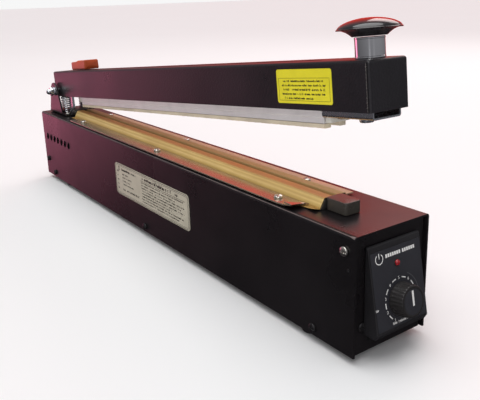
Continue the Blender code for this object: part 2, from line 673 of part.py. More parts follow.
def transformer(bench, iron, copper):
    """An EI core standing on the tray, with its winding round the middle limb."""
    centre = CASE_LENGTH - CORE_FROM_END
    floor = CASE_FOOT + CASE_SHEET + 2 * GAP
    roof = floor + CORE_HEIGHT
    half, depth = CORE_LENGTH / 2, CORE_DEPTH / 2
    window = half - 2 * CORE_LIMB
    core = box("transformer_core", (centre - half, -depth, floor), (centre + half, depth, roof), bench, iron)
    for side, x in (("rear", centre - CORE_LIMB - window), ("near", centre + CORE_LIMB)):
        combine(core, box(f"{side}_window_cut", (x, -2 * depth, floor + CORE_LIMB),
                          (x + window, 2 * depth, roof - CORE_LIMB), bench))
    reach = CORE_LIMB + window - GAP
    side = depth + COIL_OVERHANG
    coil = box("transformer_coil", (centre - reach, -side, floor + CORE_LIMB + GAP),
               (centre + reach, side, roof - CORE_LIMB - GAP), bench, copper)
    combine(coil, box("limb_cut", (centre - CORE_LIMB - GAP, -depth - GAP, floor),
                      (centre + CORE_LIMB + GAP, depth + GAP, roof), bench))
    return core, coil


def wiring_harness(bench, insulation):
    """A connector beside the winding and its leads to the two ends of the heater bar."""
    coil_x = CASE_LENGTH - CORE_FROM_END
    side = -(CORE_DEPTH / 2 + COIL_OVERHANG + 3 * MM)
    low = CASE_FOOT + 30 * MM
    end_z = CASE_TOP - CASE_SHEET - 1 * MM
    (_, near_x), (_, far_x) = block_places()
    near = [(coil_x + 6 * MM, side, low), (coil_x + 26 * MM, side, low + 6 * MM),
            (near_x - 8 * MM, 0.6 * side, low + 24 * MM), (near_x, SEAL_LINE, low + 38 * MM),
            (near_x, SEAL_LINE, end_z)]
    far = [(coil_x - 6 * MM, side, low), (coil_x - 60 * MM, side, low - 12 * MM),
           (coil_x - 180 * MM, 0.8 * side, low - 16 * MM), (far_x + 60 * MM, 0.6 * side, low - 10 * MM),
           (far_x + 8 * MM, 0.4 * side, low + 14 * MM), (far_x, SEAL_LINE, low + 36 * MM),
           (far_x, SEAL_LINE, end_z)]
    connector = box("wiring_harness", (coil_x - 8 * MM, side - 2.2 * MM, low - 3 * MM),
                    (coil_x + 8 * MM, side + 2.2 * MM, low + 3 * MM), bench, insulation)
    for name, route, pieces in (("near", near, 5), ("far", far, 6)):
        points = smooth_route([Vector(point) for point in route], pieces)
        lead = tube(f"{name}_lead_join", points, LEAD_RADIUS, bench, None)
        combine(connector, lead, "UNION")
    return connector


# ---- micro switch behind the arm's lever ---------------------------------------------------
SWITCH_Z = CASE_TOP - SWITCH_BELOW_TOP
SWITCH_TRAVEL = (PIVOT.z - SWITCH_Z) * math.sin(ARM_OPEN)
LEVER_BACK = PIVOT_X - LEVER_BEHIND * math.cos(ARM_OPEN) + SWITCH_TRAVEL
PLUNGER_TIP = LEVER_BACK - 2 * GAP
SWITCH_MOUTH = PLUNGER_TIP - SWITCH_TRAVEL - 2 * MM


def micro_switch(bench, plastic):
    """Snap switch on the rear panel, bored for its plunger."""
    rear = REAR_PANEL + CASE_SHEET + GAP
    body = box("micro_switch", (rear, SEAL_LINE - 5 * MM, SWITCH_Z - 18 * MM),
               (SWITCH_MOUTH, SEAL_LINE + 5 * MM, SWITCH_Z + 7 * MM), bench, plastic, 0.6 * MM)
    bore = PLUNGER_TIP - PLUNGER_LENGTH - SWITCH_TRAVEL - GAP
    combine(body, cylinder("plunger_bore_cut", PLUNGER_RADIUS + GAP, SWITCH_MOUTH - bore + 5 * MM, bench,
                           along(TO_X, bore, SEAL_LINE, SWITCH_Z), vertices=16))
    return body


def switch_plunger(plunger, plastic):
    return cylinder("switch_plunger", PLUNGER_RADIUS, PLUNGER_LENGTH, plunger,
                    along(TO_X, PLUNGER_TIP - PLUNGER_LENGTH, SEAL_LINE, SWITCH_Z), plastic, vertices=16)


# ---- sealing bar on the casing's top ---------------------------------------------------------
def block_places():
    """(end, x of its middle) for the two terminal blocks, nearest the controls first."""
    reach = GAP + BLOCK_LENGTH / 2
    return [("near", BAR_END + reach), ("far", BAR_START - reach)]


def strip_ends():
    return BAR_START + STRIP_START, BAR_END - STRIP_END


def strip_screw_places():
    """(name, x, y) of the three screws in each clamp strip."""
    start, end = strip_ends()
    first = start + STRIP_SCREW_MARGIN
    step = (end - start - 2 * STRIP_SCREW_MARGIN) / 2
    sides = (("front", SEAL_LINE - STRIP_MIDDLE, first), ("back", SEAL_LINE + STRIP_MIDDLE, first - SCREW_STAGGER))
    return [(f"strip_screw_{side}_{n + 1}", start_x + step * n, y) for side, y, start_x in sides for n in range(3)]


def bracket_screw_places():
    """(name, x, y) of the hinge bracket's two screws, ahead of its ears."""
    x = PIVOT_X + BRACKET_FRONT - BRACKET_SCREW_INSET
    spread = EAR_SPREAD / 2 - BRACKET_SCREW_INSET
    return [("bracket_screw_front", x, SEAL_LINE - spread), ("bracket_screw_back", x, SEAL_LINE + spread)]


def heater_bar(bench, aluminium):
    """Tapered extrusion with a groove along its top for the blade."""
    foot, top, groove = BAR_FOOT_WIDTH / 2, BAR_TOP_WIDTH / 2, BAR_GROOVE_WIDTH / 2
    floor = BAR_TOP - BAR_GROOVE_DEPTH
    shoulder = BAR_BOTTOM + 1.2 * MM
    section = [(-foot, BAR_BOTTOM), (foot, BAR_BOTTOM), (foot, shoulder), (top, BAR_TOP), (groove, BAR_TOP),
               (groove, floor), (-groove, floor), (-groove, BAR_TOP), (-top, BAR_TOP), (-foot, shoulder)]
    return run_section("heater_bar", section, BAR_START, BAR_END, bench, aluminium)


def heating_elements(bench, nichrome):
    """Two flat ribbons on the bar's top, one below each press pad."""
    for side, y in (("front", SEAL_LINE - PAD_SPACING / 2), ("back", SEAL_LINE + PAD_SPACING / 2)):
        box(f"{side}_heating_element", (BAR_START + 1 * MM, y - ELEMENT_WIDTH / 2, ELEMENT_BOTTOM),
            (BAR_END - 1 * MM, y + ELEMENT_WIDTH / 2, ELEMENT_BOTTOM + ELEMENT_THICKNESS), bench, nichrome)


def seal_cloth(bench, cloth):
    """Coated glass cloth drawn over the bar, into its groove and under both clamp strips."""
    foot = CASE_TOP + GAP
    top = BAR_TOP_WIDTH / 2 + GAP
    groove = BAR_GROOVE_WIDTH / 2 - 0.2 * MM
    dip = BAR_TOP - BAR_GROOVE_DEPTH + GAP
    shoulder = BAR_BOTTOM + 1.2 * MM
    half = [(STRIP_INNER + CLOTH_TUCK, foot), (CLOTH_HALF, foot), (CLOTH_HALF, shoulder), (top, CLOTH_BOTTOM),
            (groove, CLOTH_BOTTOM), (0.6 * groove, dip)]
    section = [(-y, z) for y, z in half] + half[::-1]
    return draped_sheet("seal_cloth", section, BAR_START + GAP, BAR_END - GAP, CLOTH_THICKNESS, bench, cloth)


def clamp_strips(bench, metal):
    start, end = strip_ends()
    for side, y in (("front", SEAL_LINE - STRIP_MIDDLE), ("back", SEAL_LINE + STRIP_MIDDLE)):
        strip = box(f"{side}_clamp_strip", (start, y - STRIP_WIDTH / 2, STRIP_BOTTOM),
                    (end, y + STRIP_WIDTH / 2, STRIP_TOP), bench, metal)
        for name, x, place in strip_screw_places():
            if place == y:
                combine(strip, top_hole(name + "_strip_hole_cut", x, y, SCREW_HOLE_RADIUS, bench))


def top_screws(bench, steel):
    for name, x, y in strip_screw_places():
        pan_screw(name, bench, Matrix.Translation((x, y, STRIP_TOP)), steel)
    for name, x, y in bracket_screw_places():
        pan_screw(name, bench, Matrix.Translation((x, y, CASE_TOP + GAP + EAR_THICKNESS)), steel)


def terminal_blocks(bench, bakelite):
    """Moulded blocks at the bar's ends, hollow below for the leads."""
    half = BLOCK_WIDTH / 2
    for end, x in block_places():
        block = line_box(f"{end}_terminal_block", (x - BLOCK_LENGTH / 2, -half - BLOCK_SHIFT, CASE_TOP + GAP),
                         (x + BLOCK_LENGTH / 2, half - BLOCK_SHIFT, CASE_TOP + GAP + BLOCK_HEIGHT), bench, bakelite, 1.2 * MM)
        combine(block, cylinder(f"{end}_post_hole_cut", 2.2 * MM, 5.5 * MM, bench,
                                Matrix.Translation((x, SEAL_LINE, CASE_TOP - 1 * MM)), vertices=16))


def line_box(name, low, high, frame, mat=None, rounding=0.0):
    """A box whose Y is counted from the seal line."""
    shift = Vector((0, SEAL_LINE, 0))
    return box(name, Vector(low) + shift, Vector(high) + shift, frame, mat, rounding)


# ---- hinge -------------------------------------------------------------------------------------
def ear_outline():
    """Side view of the hinge bracket: tapering ears with a round top about the pivot."""
    plate = EAR_THICKNESS + 2 * GAP
    rear, front = PIVOT_X - BRACKET_REAR, PIVOT_X + BRACKET_FRONT
    return ([(front, 0), (front, plate), (PIVOT_X + EAR_FOOT_FRONT, plate)]
            + arc((PIVOT_X, PIVOT_HEIGHT), EAR_TOP_RADIUS, 20, 160, 9)
            + [(rear + 1 * MM, plate), (rear, plate), (rear, 0)])


def hinge_bracket(bench, paint):
    half = EAR_SPREAD / 2
    low = (PIVOT_X - BRACKET_REAR, SEAL_LINE - half, CASE_TOP + GAP)
    high = (PIVOT_X + BRACKET_FRONT, SEAL_LINE + half, PIVOT.z + 2 * EAR_TOP_RADIUS)
    bracket = folded_sheet("hinge_bracket", low, high, [(1, 0, 0), (-1, 0, 0), (0, 0, 1)],
                           EAR_THICKNESS, bench, paint)
    outline = outline_solid("ear_outline_cut", ear_outline(), 2 * EAR_SPREAD, bench, along(TO_FRONT, 0, 0, CASE_TOP))
    combine(bracket, outline, "INTERSECT")
    combine(bracket, box("bracket_slot_cut", *lever_slot(), bench))
    combine(bracket, cylinder("pivot_hole_cut", PIVOT_RADIUS + GAP, 2 * EAR_SPREAD, bench,
                              along(TO_FRONT, PIVOT.x, EAR_SPREAD, PIVOT.z)))
    notch = BLOCK_WIDTH / 2 + 1 * MM
    combine(bracket, line_box("block_notch_cut", (BAR_START - BLOCK_LENGTH - 1 * MM, -notch - BLOCK_SHIFT,
                                                   CASE_TOP - 1 * MM),
                              (BAR_START, notch - BLOCK_SHIFT, CASE_TOP + BLOCK_HEIGHT), bench))
    for name, x, y in bracket_screw_places():
        combine(bracket, top_hole(name + "_bracket_hole_cut", x, y, SCREW_HOLE_RADIUS, bench))
    return bracket


def pivot_bolt(bench, steel):
    """Hexagon-headed bolt from the back, threaded into the domed nut at the front."""
    front = SEAL_LINE - EAR_SPREAD / 2 - NUT_THICKNESS
    back = SEAL_LINE + EAR_SPREAD / 2 + GAP
    bolt = cylinder("pivot_bolt", PIVOT_RADIUS, back - front + 1 * MM, bench,
                    along(TO_FRONT, PIVOT.x, back + 1 * MM, PIVOT.z), steel)
    combine(bolt, cylinder("bolt_head_join", NUT_ACROSS_CORNERS / 2, 4 * MM, bench,
                           along(TO_BACK, PIVOT.x, back, PIVOT.z), vertices=6), "UNION")
    return bolt


def domed_nut(bench, chrome):
    place = along(TO_FRONT, PIVOT.x, SEAL_LINE - EAR_SPREAD / 2, PIVOT.z)
    nut = cylinder("hinge_domed_nut", NUT_ACROSS_CORNERS / 2, NUT_THICKNESS, bench,
                   place @ Matrix.Translation((0, 0, GAP)), chrome, vertices=6)
    foot = NUT_THICKNESS - 1 * MM
    dome = [(DOME_RADIUS * math.sin(math.radians(a)), NUT_THICKNESS + DOME_HEIGHT * math.cos(math.radians(a)))
            for a in range(0, 91, 15)]
    combine(nut, turned("dome_join", dome + [(DOME_RADIUS, foot), (0, foot)], bench, place, steps=20), "UNION")
    combine(nut, cylinder("nut_bore_cut", PIVOT_RADIUS + GAP, NUT_THICKNESS + 2 * MM, bench,
                          place @ Matrix.Translation((0, 0, -1 * MM))))
    return nut


def return_springs(bench, steel):
    """Compression coils between the bracket and the open arm, one on each side."""
    wire = SPRING_WIRE / 2
    radius = SPRING_DIAMETER / 2 - wire
    bottom = CASE_TOP + 2 * GAP + EAR_THICKNESS + wire
    seat = PIVOT.z + SPRING_AHEAD * math.sin(ARM_OPEN) - ARM_BELOW_PIVOT * math.cos(ARM_OPEN)
    top = seat - wire - GAP - SPRING_DIAMETER / 2 * math.sin(ARM_OPEN)
    count = SPRING_TURNS * 12
    for side, y in (("front", -SPRING_SPACING / 2), ("back", SPRING_SPACING / 2)):
        points = []
        for i in range(count + 1):
            share = i / count
            angle = 2 * math.pi * SPRING_TURNS * share
            rise = min(max((share - 0.1) / 0.8, 0), 1)
            height = bottom + (top - bottom) * (0.94 * rise + 0.06 * share)
            points.append((PIVOT_X + SPRING_AHEAD + radius * math.cos(angle),
                           SEAL_LINE + y + radius * math.sin(angle), height))
        tube(f"return_spring_{side}", points, wire, bench, steel, resolution=1)


# ---- press arm ------------------------------------------------------------------------------------
BUSH_RADIUS = 4.3 * MM


def arm_cover(arm, paint):
    cover = folded_sheet("arm_cover", (ARM_REAR, SEAL_LINE - ARM_HALF, ARM_BOTTOM),
                         (ARM_FRONT, SEAL_LINE + ARM_HALF, ARM_TOP), [(0, 0, -1)], ARM_SHEET, arm, paint)
    slot = STEM_WIDTH / 2 + SLIDE_GAP
    combine(cover, line_box("cutter_slot_cut", (ARM_SLOT_START, -slot, ARM_TOP - 4 * MM),
                            (ARM_SLOT_END, slot, ARM_TOP + 4 * MM), arm))
    combine(cover, cylinder("arm_pivot_hole_cut", BUSH_RADIUS + GAP, 2 * ARM_WIDTH, arm,
                            along(TO_FRONT, PIVOT.x, ARM_WIDTH, PIVOT.z)))
    combine(cover, cylinder("handle_stud_hole_cut", STUD_RADIUS + GAP, 8 * MM, arm,
                            Matrix.Translation((HANDLE_X, SEAL_LINE, ARM_TOP - 4 * MM))))
    return cover


def arm_lever(arm, zinc):
    """Hinge block with its bush; the tongue hangs through the casing to the switch."""
    wall = ARM_SHEET + GAP
    low = (ARM_REAR + wall, -ARM_HALF + wall, ARM_BOTTOM + GAP)
    high = (PIVOT_X + LEVER_BLOCK_AHEAD, ARM_HALF - wall, ARM_BOTTOM + LEVER_BLOCK_HEIGHT)
    block = line_box("arm_lever", low, high, arm, zinc)
    half = LEVER_THICKNESS / 2
    combine(block, line_box("tongue_join", (PIVOT_X - LEVER_BEHIND, -half, CASE_TOP - LEVER_BELOW_TOP),
                            (PIVOT_X + LEVER_AHEAD, half, ARM_BOTTOM + 8 * MM), arm), "UNION")
    bush = EAR_SPREAD / 2 - EAR_THICKNESS - GAP
    combine(block, cylinder("bush_join", BUSH_RADIUS, 2 * bush, arm,
                            along(TO_FRONT, PIVOT.x, SEAL_LINE + bush, PIVOT.z)), "UNION")
    combine(block, cylinder("lever_bore_cut", PIVOT_RADIUS + GAP, 2 * ARM_WIDTH, arm,
                            along(TO_FRONT, PIVOT.x, ARM_WIDTH, PIVOT.z)))
    return block


def press_channel(arm, aluminium):
    """Hat-shaped extrusion: flanges inside the arm cover, a channel below that holds the pads."""
    flange = ARM_HALF - ARM_SHEET - GAP
    flange_low, flange_high = ARM_BOTTOM + 0.5 * MM, ARM_BOTTOM + 2.1 * MM
    inner = CHANNEL_HALF - CHANNEL_WALL
    foot = CHANNEL_HALF - CHANNEL_STEP_INSET
    step = ARM_BOTTOM - CHANNEL_STEP
    half = [(flange, flange_high), (flange, flange_low), (CHANNEL_HALF, flange_low), (CHANNEL_HALF, step),
            (foot, step - CHANNEL_STEP_INSET), (foot, CHANNEL_BOTTOM)]
    inside = [(inner, CHANNEL_BOTTOM + CHANNEL_WALL), (inner, flange_high)]
    section = half + [(-y, z) for y, z in half[::-1]] + [(-y, z) for y, z in inside[::-1]] + inside
    channel = run_section("press_channel", section, CHANNEL_START, CHANNEL_END, arm, aluminium)
    slot = BLADE_SLOT / 2
    combine(channel, line_box("blade_slot_cut", (CHANNEL_START + 3 * MM, -slot, CHANNEL_BOTTOM - 2 * MM),
                              (CHANNEL_END - 3 * MM, slot, CHANNEL_BOTTOM + CHANNEL_WALL + 2 * MM), arm))
    return channel


def press_pads(arm, silicone):
    """Two silicone strips with softened lower edges, one on each side of the blade's slot."""
    half, corner = PAD_WIDTH / 2, 0.8 * MM
    top = CHANNEL_BOTTOM - GAP
    for side, middle_y in (("front", -PAD_SPACING / 2), ("back", PAD_SPACING / 2)):
        section = [(-half, top), (-half, PAD_BOTTOM + corner), (corner - half, PAD_BOTTOM),
                   (half - corner, PAD_BOTTOM), (half, PAD_BOTTOM + corner), (half, top)]
        run_section(f"{side}_press_pad", [(middle_y + y, z) for y, z in section],
                    CHANNEL_START, CHANNEL_END, arm, silicone)


def arm_end_bracket(arm, zinc):
    """Plated tray under the arm's front end, below the handle."""
    half = CHANNEL_HALF + 2 * MM
    low = Vector((CHANNEL_END + 1.5 * MM, SEAL_LINE - half, ARM_BOTTOM - 5 * MM))
    high = Vector((ARM_FRONT - ARM_SHEET - 1.5 * MM, SEAL_LINE + half, ARM_BOTTOM + 10 * MM))
    return folded_sheet("arm_end_bracket", low, high, [(1, 0, 0), (-1, 0, 0), (0, 0, 1)],
                        1.2 * MM, arm, zinc)


def handle_column(arm, chrome):
    foot = ARM_TOP + GAP
    bevel = 0.5 * MM
    profile = [(0, foot + COLUMN_HEIGHT), (COLUMN_RADIUS - bevel, foot + COLUMN_HEIGHT),
               (COLUMN_RADIUS, foot + COLUMN_HEIGHT - bevel), (COLUMN_RADIUS, foot + bevel),
               (COLUMN_RADIUS - bevel, foot), (STUD_RADIUS, foot), (STUD_RADIUS, foot - STUD_LENGTH),
               (0, foot - STUD_LENGTH)]
    return turned("handle_column", profile, arm, Matrix.Translation((HANDLE_X, SEAL_LINE, 0)), chrome, steps=32)


def handle_cap(arm, plastic):
    """Mushroom cap: a flared underside, a thin rim and a shallow dome."""
    foot = ARM_TOP + COLUMN_HEIGHT + 2 * GAP
    rim = foot + CAP_FLARE
    dome = [(CAP_RADIUS * math.sin(math.radians(a)), rim + CAP_DOME * math.cos(math.radians(a)))
            for a in range(0, 90, 12)]
    flare = [(CAP_RADIUS, rim), (CAP_RADIUS - 0.3 * MM, rim - 1 * MM), (0.84 * CAP_RADIUS, rim - 0.38 * CAP_FLARE),
             (0.66 * CAP_RADIUS, rim - 0.68 * CAP_FLARE), (0.55 * CAP_RADIUS, foot), (0, foot)]
    return turned("handle_cap", [(0, dome[0][1])] + dome[1:] + flare, arm,
                  Matrix.Translation((HANDLE_X, SEAL_LINE, 0)), plastic, steps=32)


# ---- bag cutter ----------------------------------------------------------------------------------------
KNOB_FOOT = ARM_TOP + 0.8 * MM
BLADE_HALF = 8 * MM
BLADE_X = KNOB_PARKED + BLADE_AHEAD


def cutter_knob(cutter, plastic):
    half = KNOB_LENGTH / 2
    return line_box("cutter_knob", (KNOB_PARKED - half, -KNOB_WIDTH / 2, KNOB_FOOT),
                    (KNOB_PARKED + half, KNOB_WIDTH / 2, KNOB_FOOT + KNOB_HEIGHT), cutter, plastic, 1.2 * MM)


def cutter_carriage(cutter, nylon):
    """Slider running in the channel; its stem passes up through the arm's slot to the grip."""
    half = CHANNEL_HALF - CHANNEL_WALL - SLIDE_GAP
    floor = CHANNEL_BOTTOM + CHANNEL_WALL + SLIDE_GAP
    slider = line_box("cutter_carriage", (KNOB_PARKED - 12 * MM, -half, floor),
                      (BLADE_X + BLADE_HALF + 2 * MM, half, ARM_BOTTOM + 6 * MM), cutter, nylon)
    combine(slider, line_box("stem_join", (KNOB_PARKED - STEM_LENGTH / 2, -STEM_WIDTH / 2, ARM_BOTTOM + 4 * MM),
                             (KNOB_PARKED + STEM_LENGTH / 2, STEM_WIDTH / 2, KNOB_FOOT - GAP), cutter), "UNION")
    kerf = BLADE_THICKNESS / 2 + GAP
    combine(slider, line_box("blade_kerf_cut", (BLADE_X - BLADE_HALF - GAP, -kerf, floor - 2 * MM),
                             (BLADE_X + BLADE_HALF + GAP, kerf, ARM_BOTTOM + GAP), cutter))
    return slider


def cutter_blade(cutter, steel):
    """Thin blade clamped in the slider, with two slanted cutting edges."""
    tip = PAD_BOTTOM - BLADE_BELOW_PAD
    shoulder = CHANNEL_BOTTOM + 1 * MM
    rear, front = BLADE_X - BLADE_HALF, BLADE_X + BLADE_HALF
    outline = [(rear, ARM_BOTTOM), (rear, shoulder), (BLADE_X, tip), (front, shoulder), (front, ARM_BOTTOM)]
    return outline_solid("cutter_blade", outline, BLADE_THICKNESS, cutter, along(TO_FRONT, 0, SEAL_LINE, 0), steel)


# ---- build -----------------------------------------------------------------------------------------------
clear_scene()
PARTS = new_collection("impulse_heat_sealer")
CUTTERS = new_collection("cutters")


def main():
    bench = new_frame("bench", None, (-MIDDLE_X, 0, 0))
    bench["origin"] = Vector()
    arm = new_frame("arm_pivot", bench["empty"], PIVOT, turn=Matrix.Rotation(-ARM_OPEN, 4, "Y"))
    cutter = new_frame("cutter_slide", arm["empty"], (KNOB_PARKED, SEAL_LINE, ARM_TOP), PIVOT)
    dial = new_frame("dial_axis", bench["empty"], DIAL_CENTRE)
    plunger = new_frame("plunger_axis", bench["empty"], (PLUNGER_TIP, SEAL_LINE, SWITCH_Z))

    black_paint = material("black_paint", (0.02, 0.019, 0.02), 0.42)
    plain_steel = material("plain_steel", (0.45, 0.45, 0.46), 0.4, 1.0)
    nickel = material("nickel", (0.72, 0.7, 0.66), 0.25, 1.0)
    black_steel = material("black_steel", (0.03, 0.03, 0.03), 0.45, 0.6)
    zinc = material("zinc", (0.75, 0.77, 0.8), 0.22, 1.0)
    chrome = material("chrome", (0.85, 0.85, 0.87), 0.06, 1.0)
    aluminium = material("aluminium", (0.66, 0.66, 0.66), 0.4, 0.9)
    strip_metal = material("strip_metal", (0.62, 0.6, 0.56), 0.28, 1.0)
    nichrome = material("nichrome", (0.4, 0.37, 0.34), 0.4, 1.0)
    glass_cloth = material("glass_cloth", (0.72, 0.5, 0.17), 0.4)
    silicone = material("silicone", (0.78, 0.72, 0.6), 0.6)
    nylon = material("nylon", (0.8, 0.79, 0.76), 0.45)
    black_plastic = material("black_plastic", (0.015, 0.014, 0.015), 0.16)
    grey_block = material("grey_block", (0.12, 0.11, 0.105), 0.45)
    orange_plastic = material("orange_plastic", (0.72, 0.13, 0.03), 0.35)
    red_lamp = material("red_lamp", (0.55, 0.02, 0.03), 0.15)
    rubber = material("black_rubber", (0.02, 0.02, 0.02), 0.7)
    core_iron = material("core_iron", (0.2, 0.2, 0.21), 0.55, 0.8)
    copper = material("copper", (0.7, 0.32, 0.14), 0.35, 1.0)
    laminate = material("board_laminate", (0.05, 0.25, 0.1), 0.5)
    insulation = material("lead_insulation", (0.6, 0.58, 0.52), 0.6)

    base_casing(bench, black_paint)
    case_screws(bench, black_steel, nickel)
    bottom_plate(bench, black_paint)
    rear_end_panel(bench, black_paint)
    front_end_panel(bench, black_paint)
    cord_gland(bench, rubber)
    feet(bench, rubber)

    control_console(bench, black_paint)
    lamp_lens(bench, red_lamp)
    timer_board(bench, laminate)
    transformer(bench, core_iron, copper)
    wiring_harness(bench, insulation)
    micro_switch(bench, black_plastic)

    heater_bar(bench, aluminium)
    heating_elements(bench, nichrome)
    seal_cloth(bench, glass_cloth)
    clamp_strips(bench, strip_metal)
    top_screws(bench, nickel)
    terminal_blocks(bench, grey_block)

    hinge_bracket(bench, black_paint)
    pivot_bolt(bench, plain_steel)
    domed_nut(bench, chrome)
    return_springs(bench, zinc)

    arm_cover(arm, black_paint)
    arm_lever(arm, zinc)
    press_channel(arm, aluminium)
    press_pads(arm, silicone)
    arm_end_bracket(arm, zinc)
    handle_column(arm, chrome)
    handle_cap(arm, black_plastic)

    cutter_knob(cutter, orange_plastic)
    cutter_carriage(cutter, nylon)
    cutter_blade(cutter, plain_steel)
    timer_knob(dial, black_plastic)
    switch_plunger(plunger, orange_plastic)


main()
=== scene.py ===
# Looks of the impulse heat sealer: finishes, detailed pieces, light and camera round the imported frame.
import json
import math

import bmesh
import bpy
import numpy as np
from mathutils import Matrix, Vector


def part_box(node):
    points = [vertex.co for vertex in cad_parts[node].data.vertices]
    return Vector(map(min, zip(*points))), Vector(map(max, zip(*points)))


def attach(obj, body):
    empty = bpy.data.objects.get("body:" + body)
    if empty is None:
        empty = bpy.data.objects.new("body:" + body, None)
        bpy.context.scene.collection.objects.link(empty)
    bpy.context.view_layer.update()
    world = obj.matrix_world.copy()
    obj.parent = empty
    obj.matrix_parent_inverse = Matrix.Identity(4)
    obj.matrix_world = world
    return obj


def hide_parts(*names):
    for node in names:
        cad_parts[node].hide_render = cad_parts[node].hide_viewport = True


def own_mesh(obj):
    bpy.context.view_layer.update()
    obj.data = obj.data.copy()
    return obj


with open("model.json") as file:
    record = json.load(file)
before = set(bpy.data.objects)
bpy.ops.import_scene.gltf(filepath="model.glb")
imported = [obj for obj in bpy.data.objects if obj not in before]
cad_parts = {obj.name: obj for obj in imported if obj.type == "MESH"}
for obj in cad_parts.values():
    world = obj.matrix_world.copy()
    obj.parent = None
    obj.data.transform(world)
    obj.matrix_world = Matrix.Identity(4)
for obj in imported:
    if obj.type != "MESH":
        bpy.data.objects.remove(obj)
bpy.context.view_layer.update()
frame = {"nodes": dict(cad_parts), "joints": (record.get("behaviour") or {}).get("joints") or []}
mm = 0.001
joints = {joint["name"]: joint for joint in frame["joints"]}
nodes = frame["nodes"]
print("frame loaded:", len(nodes), "nodes")


# Places: every frame is an origin and three axes (right, up, out),
# so local (x, y, z) = origin + x right + y up + z out.
pivot = np.array(joints["arm_hinge"]["pos_m"])
armOpen = math.radians(joints["arm_hinge"]["range_deg"][1])
dialCentre = np.array(joints["timer_turn"]["pos_m"])
faceNormal = np.array(joints["timer_turn"]["axis"])
sealLine = pivot[1]
casingLow, casingHigh = (np.array(corner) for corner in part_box("base_casing"))


def axesFrame(origin, right, up):
    right, up = np.array(right, float), np.array(up, float)
    return np.array(origin, float), np.stack([right, up, np.cross(right, up)])


def onTop(x, y, z):
    return axesFrame((x, y, z), (1, 0, 0), (0, 1, 0))


def onFront(x, y, z):
    return axesFrame((x, y, z), (1, 0, 0), (0, 0, 1))


def onBack(x, y, z):
    return axesFrame((x, y, z), (-1, 0, 0), (0, 0, 1))


def onRear(x, y, z):
    return axesFrame((x, y, z), (0, -1, 0), (0, 0, 1))


def onControlEnd(x, y, z):
    return axesFrame((x, y, z), (0, 1, 0), (0, 0, 1))


# The arm lies along armAlong at rest, opened by armOpen; its local places are (along, across, height) from the pivot.
armAlong = np.array([math.cos(armOpen), 0, math.sin(armOpen)])
armUp = np.array([-math.sin(armOpen), 0, math.cos(armOpen)])
armAxes = np.stack([armAlong, np.array([0, 1, 0]), armUp])
faceUp = np.cross(faceNormal, (0, 1, 0))


def nodePoints(node):
    mesh = nodes[node].data
    flat = np.empty(len(mesh.vertices) * 3)
    mesh.vertices.foreach_get("co", flat)
    return flat.reshape(-1, 3)


def armBox(node):
    local = (nodePoints(node) - pivot) @ armAxes.T
    return local.min(0), local.max(0)


def armPlace(along, across, height, right=(1, 0, 0), up=(0, 1, 0)):
    origin = pivot + np.array([along, across, height]) @ armAxes
    return axesFrame(origin, np.array(right) @ armAxes, np.array(up) @ armAxes)


def consolePlace(across, up, out=0.0):
    origin = dialCentre + np.array([0, across, 0]) + faceUp * up + faceNormal * out
    return axesFrame(origin, (0, 1, 0), faceUp)


def centreOf(node):
    low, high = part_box(node)
    return np.array((low + high) / 2)


# Surfaces: points with lists of faces, joined and placed before they become one mesh.
def skin(grid, around=False, capStart=False, capEnd=False):
    # quad (i, j) joins point (i, j) to its neighbours; a cap is a fan from the middle of an end row
    rows, columns = grid.shape[:2]
    index = np.arange(rows * columns).reshape(rows, columns)
    near = index if around else index[:, :-1]
    far = np.roll(index, -1, axis=1) if around else index[:, 1:]
    quads = np.stack([near[:-1], far[:-1], far[1:], near[1:]], axis=-1).reshape(-1, 4)
    points, faces = grid.reshape(-1, 3), [quads]
    for wanted, row in ((capStart, 0), (capEnd, rows - 1)):
        if wanted:
            middle = np.full(columns, len(points))
            points = np.vstack([points, grid[row].mean(0)])
            faces.append(np.stack([middle, index[row], np.roll(index[row], -1)], axis=-1))
    return {"points": points, "faces": faces}


def joined(surfaces):
    points, faces, count = [], [], 0
    for surface in surfaces:
        points.append(surface["points"])
        faces += [block + count for block in surface["faces"]]
        count += len(surface["points"])
    return {"points": np.vstack(points), "faces": faces}


def placed(surface, place):
    origin, axes = place
    return {"points": origin + surface["points"] @ axes, "faces": surface["faces"]}


def lathe(profile, steps=64):
    # each (radius, height) of the profile turned through a whole circle
    profile = np.array(profile, float)
    angle = np.linspace(0, 2 * np.pi, steps, endpoint=False)
    radius, height = profile[:, :1], profile[:, 1:]
    grid = np.stack([radius * np.cos(angle), radius * np.sin(angle), height + 0 * angle], axis=-1)
    return skin(grid, around=True)


def arcPoints(centre, radius, start, end, pieces):
    angle = np.radians(np.linspace(start, end, pieces + 1))
    return np.stack([centre[0] + radius * np.cos(angle), centre[1] + radius * np.sin(angle)], axis=-1)


def roundedOutline(width, height, radius, pieces=8):
    # four quarter circles about the corners of the rectangle, drawn in by the radius
    corners = [(1, 1, 0), (-1, 1, 90), (-1, -1, 180), (1, -1, 270)]
    arcs = [arcPoints((sx * (width / 2 - radius), sy * (height / 2 - radius)), radius, start, start + 90, pieces)
            for sx, sy, start in corners]
    return np.vstack(arcs)


def block(width, depth, height, corner, edge, pieces=6, taper=0.0):
    # a rounded outline carried up from z = 0, drawn in along a quarter circle at both edges
    turn = np.radians(np.linspace(0, 90, pieces + 1))
    low = np.stack([edge * (1 - np.sin(turn)), edge * (1 - np.cos(turn))], axis=-1)
    high = np.stack([edge * (1 - np.cos(turn)) + taper, height - edge * (1 - np.sin(turn))], axis=-1)
    rows = np.vstack([low, high])
    outlines = [np.column_stack([roundedOutline(width - 2 * inset, depth - 2 * inset, max(corner - inset, 0.05 * mm)),
                                 np.full(4 * 9, z)]) for inset, z in rows]
    return skin(np.stack(outlines), around=True, capStart=True, capEnd=True)


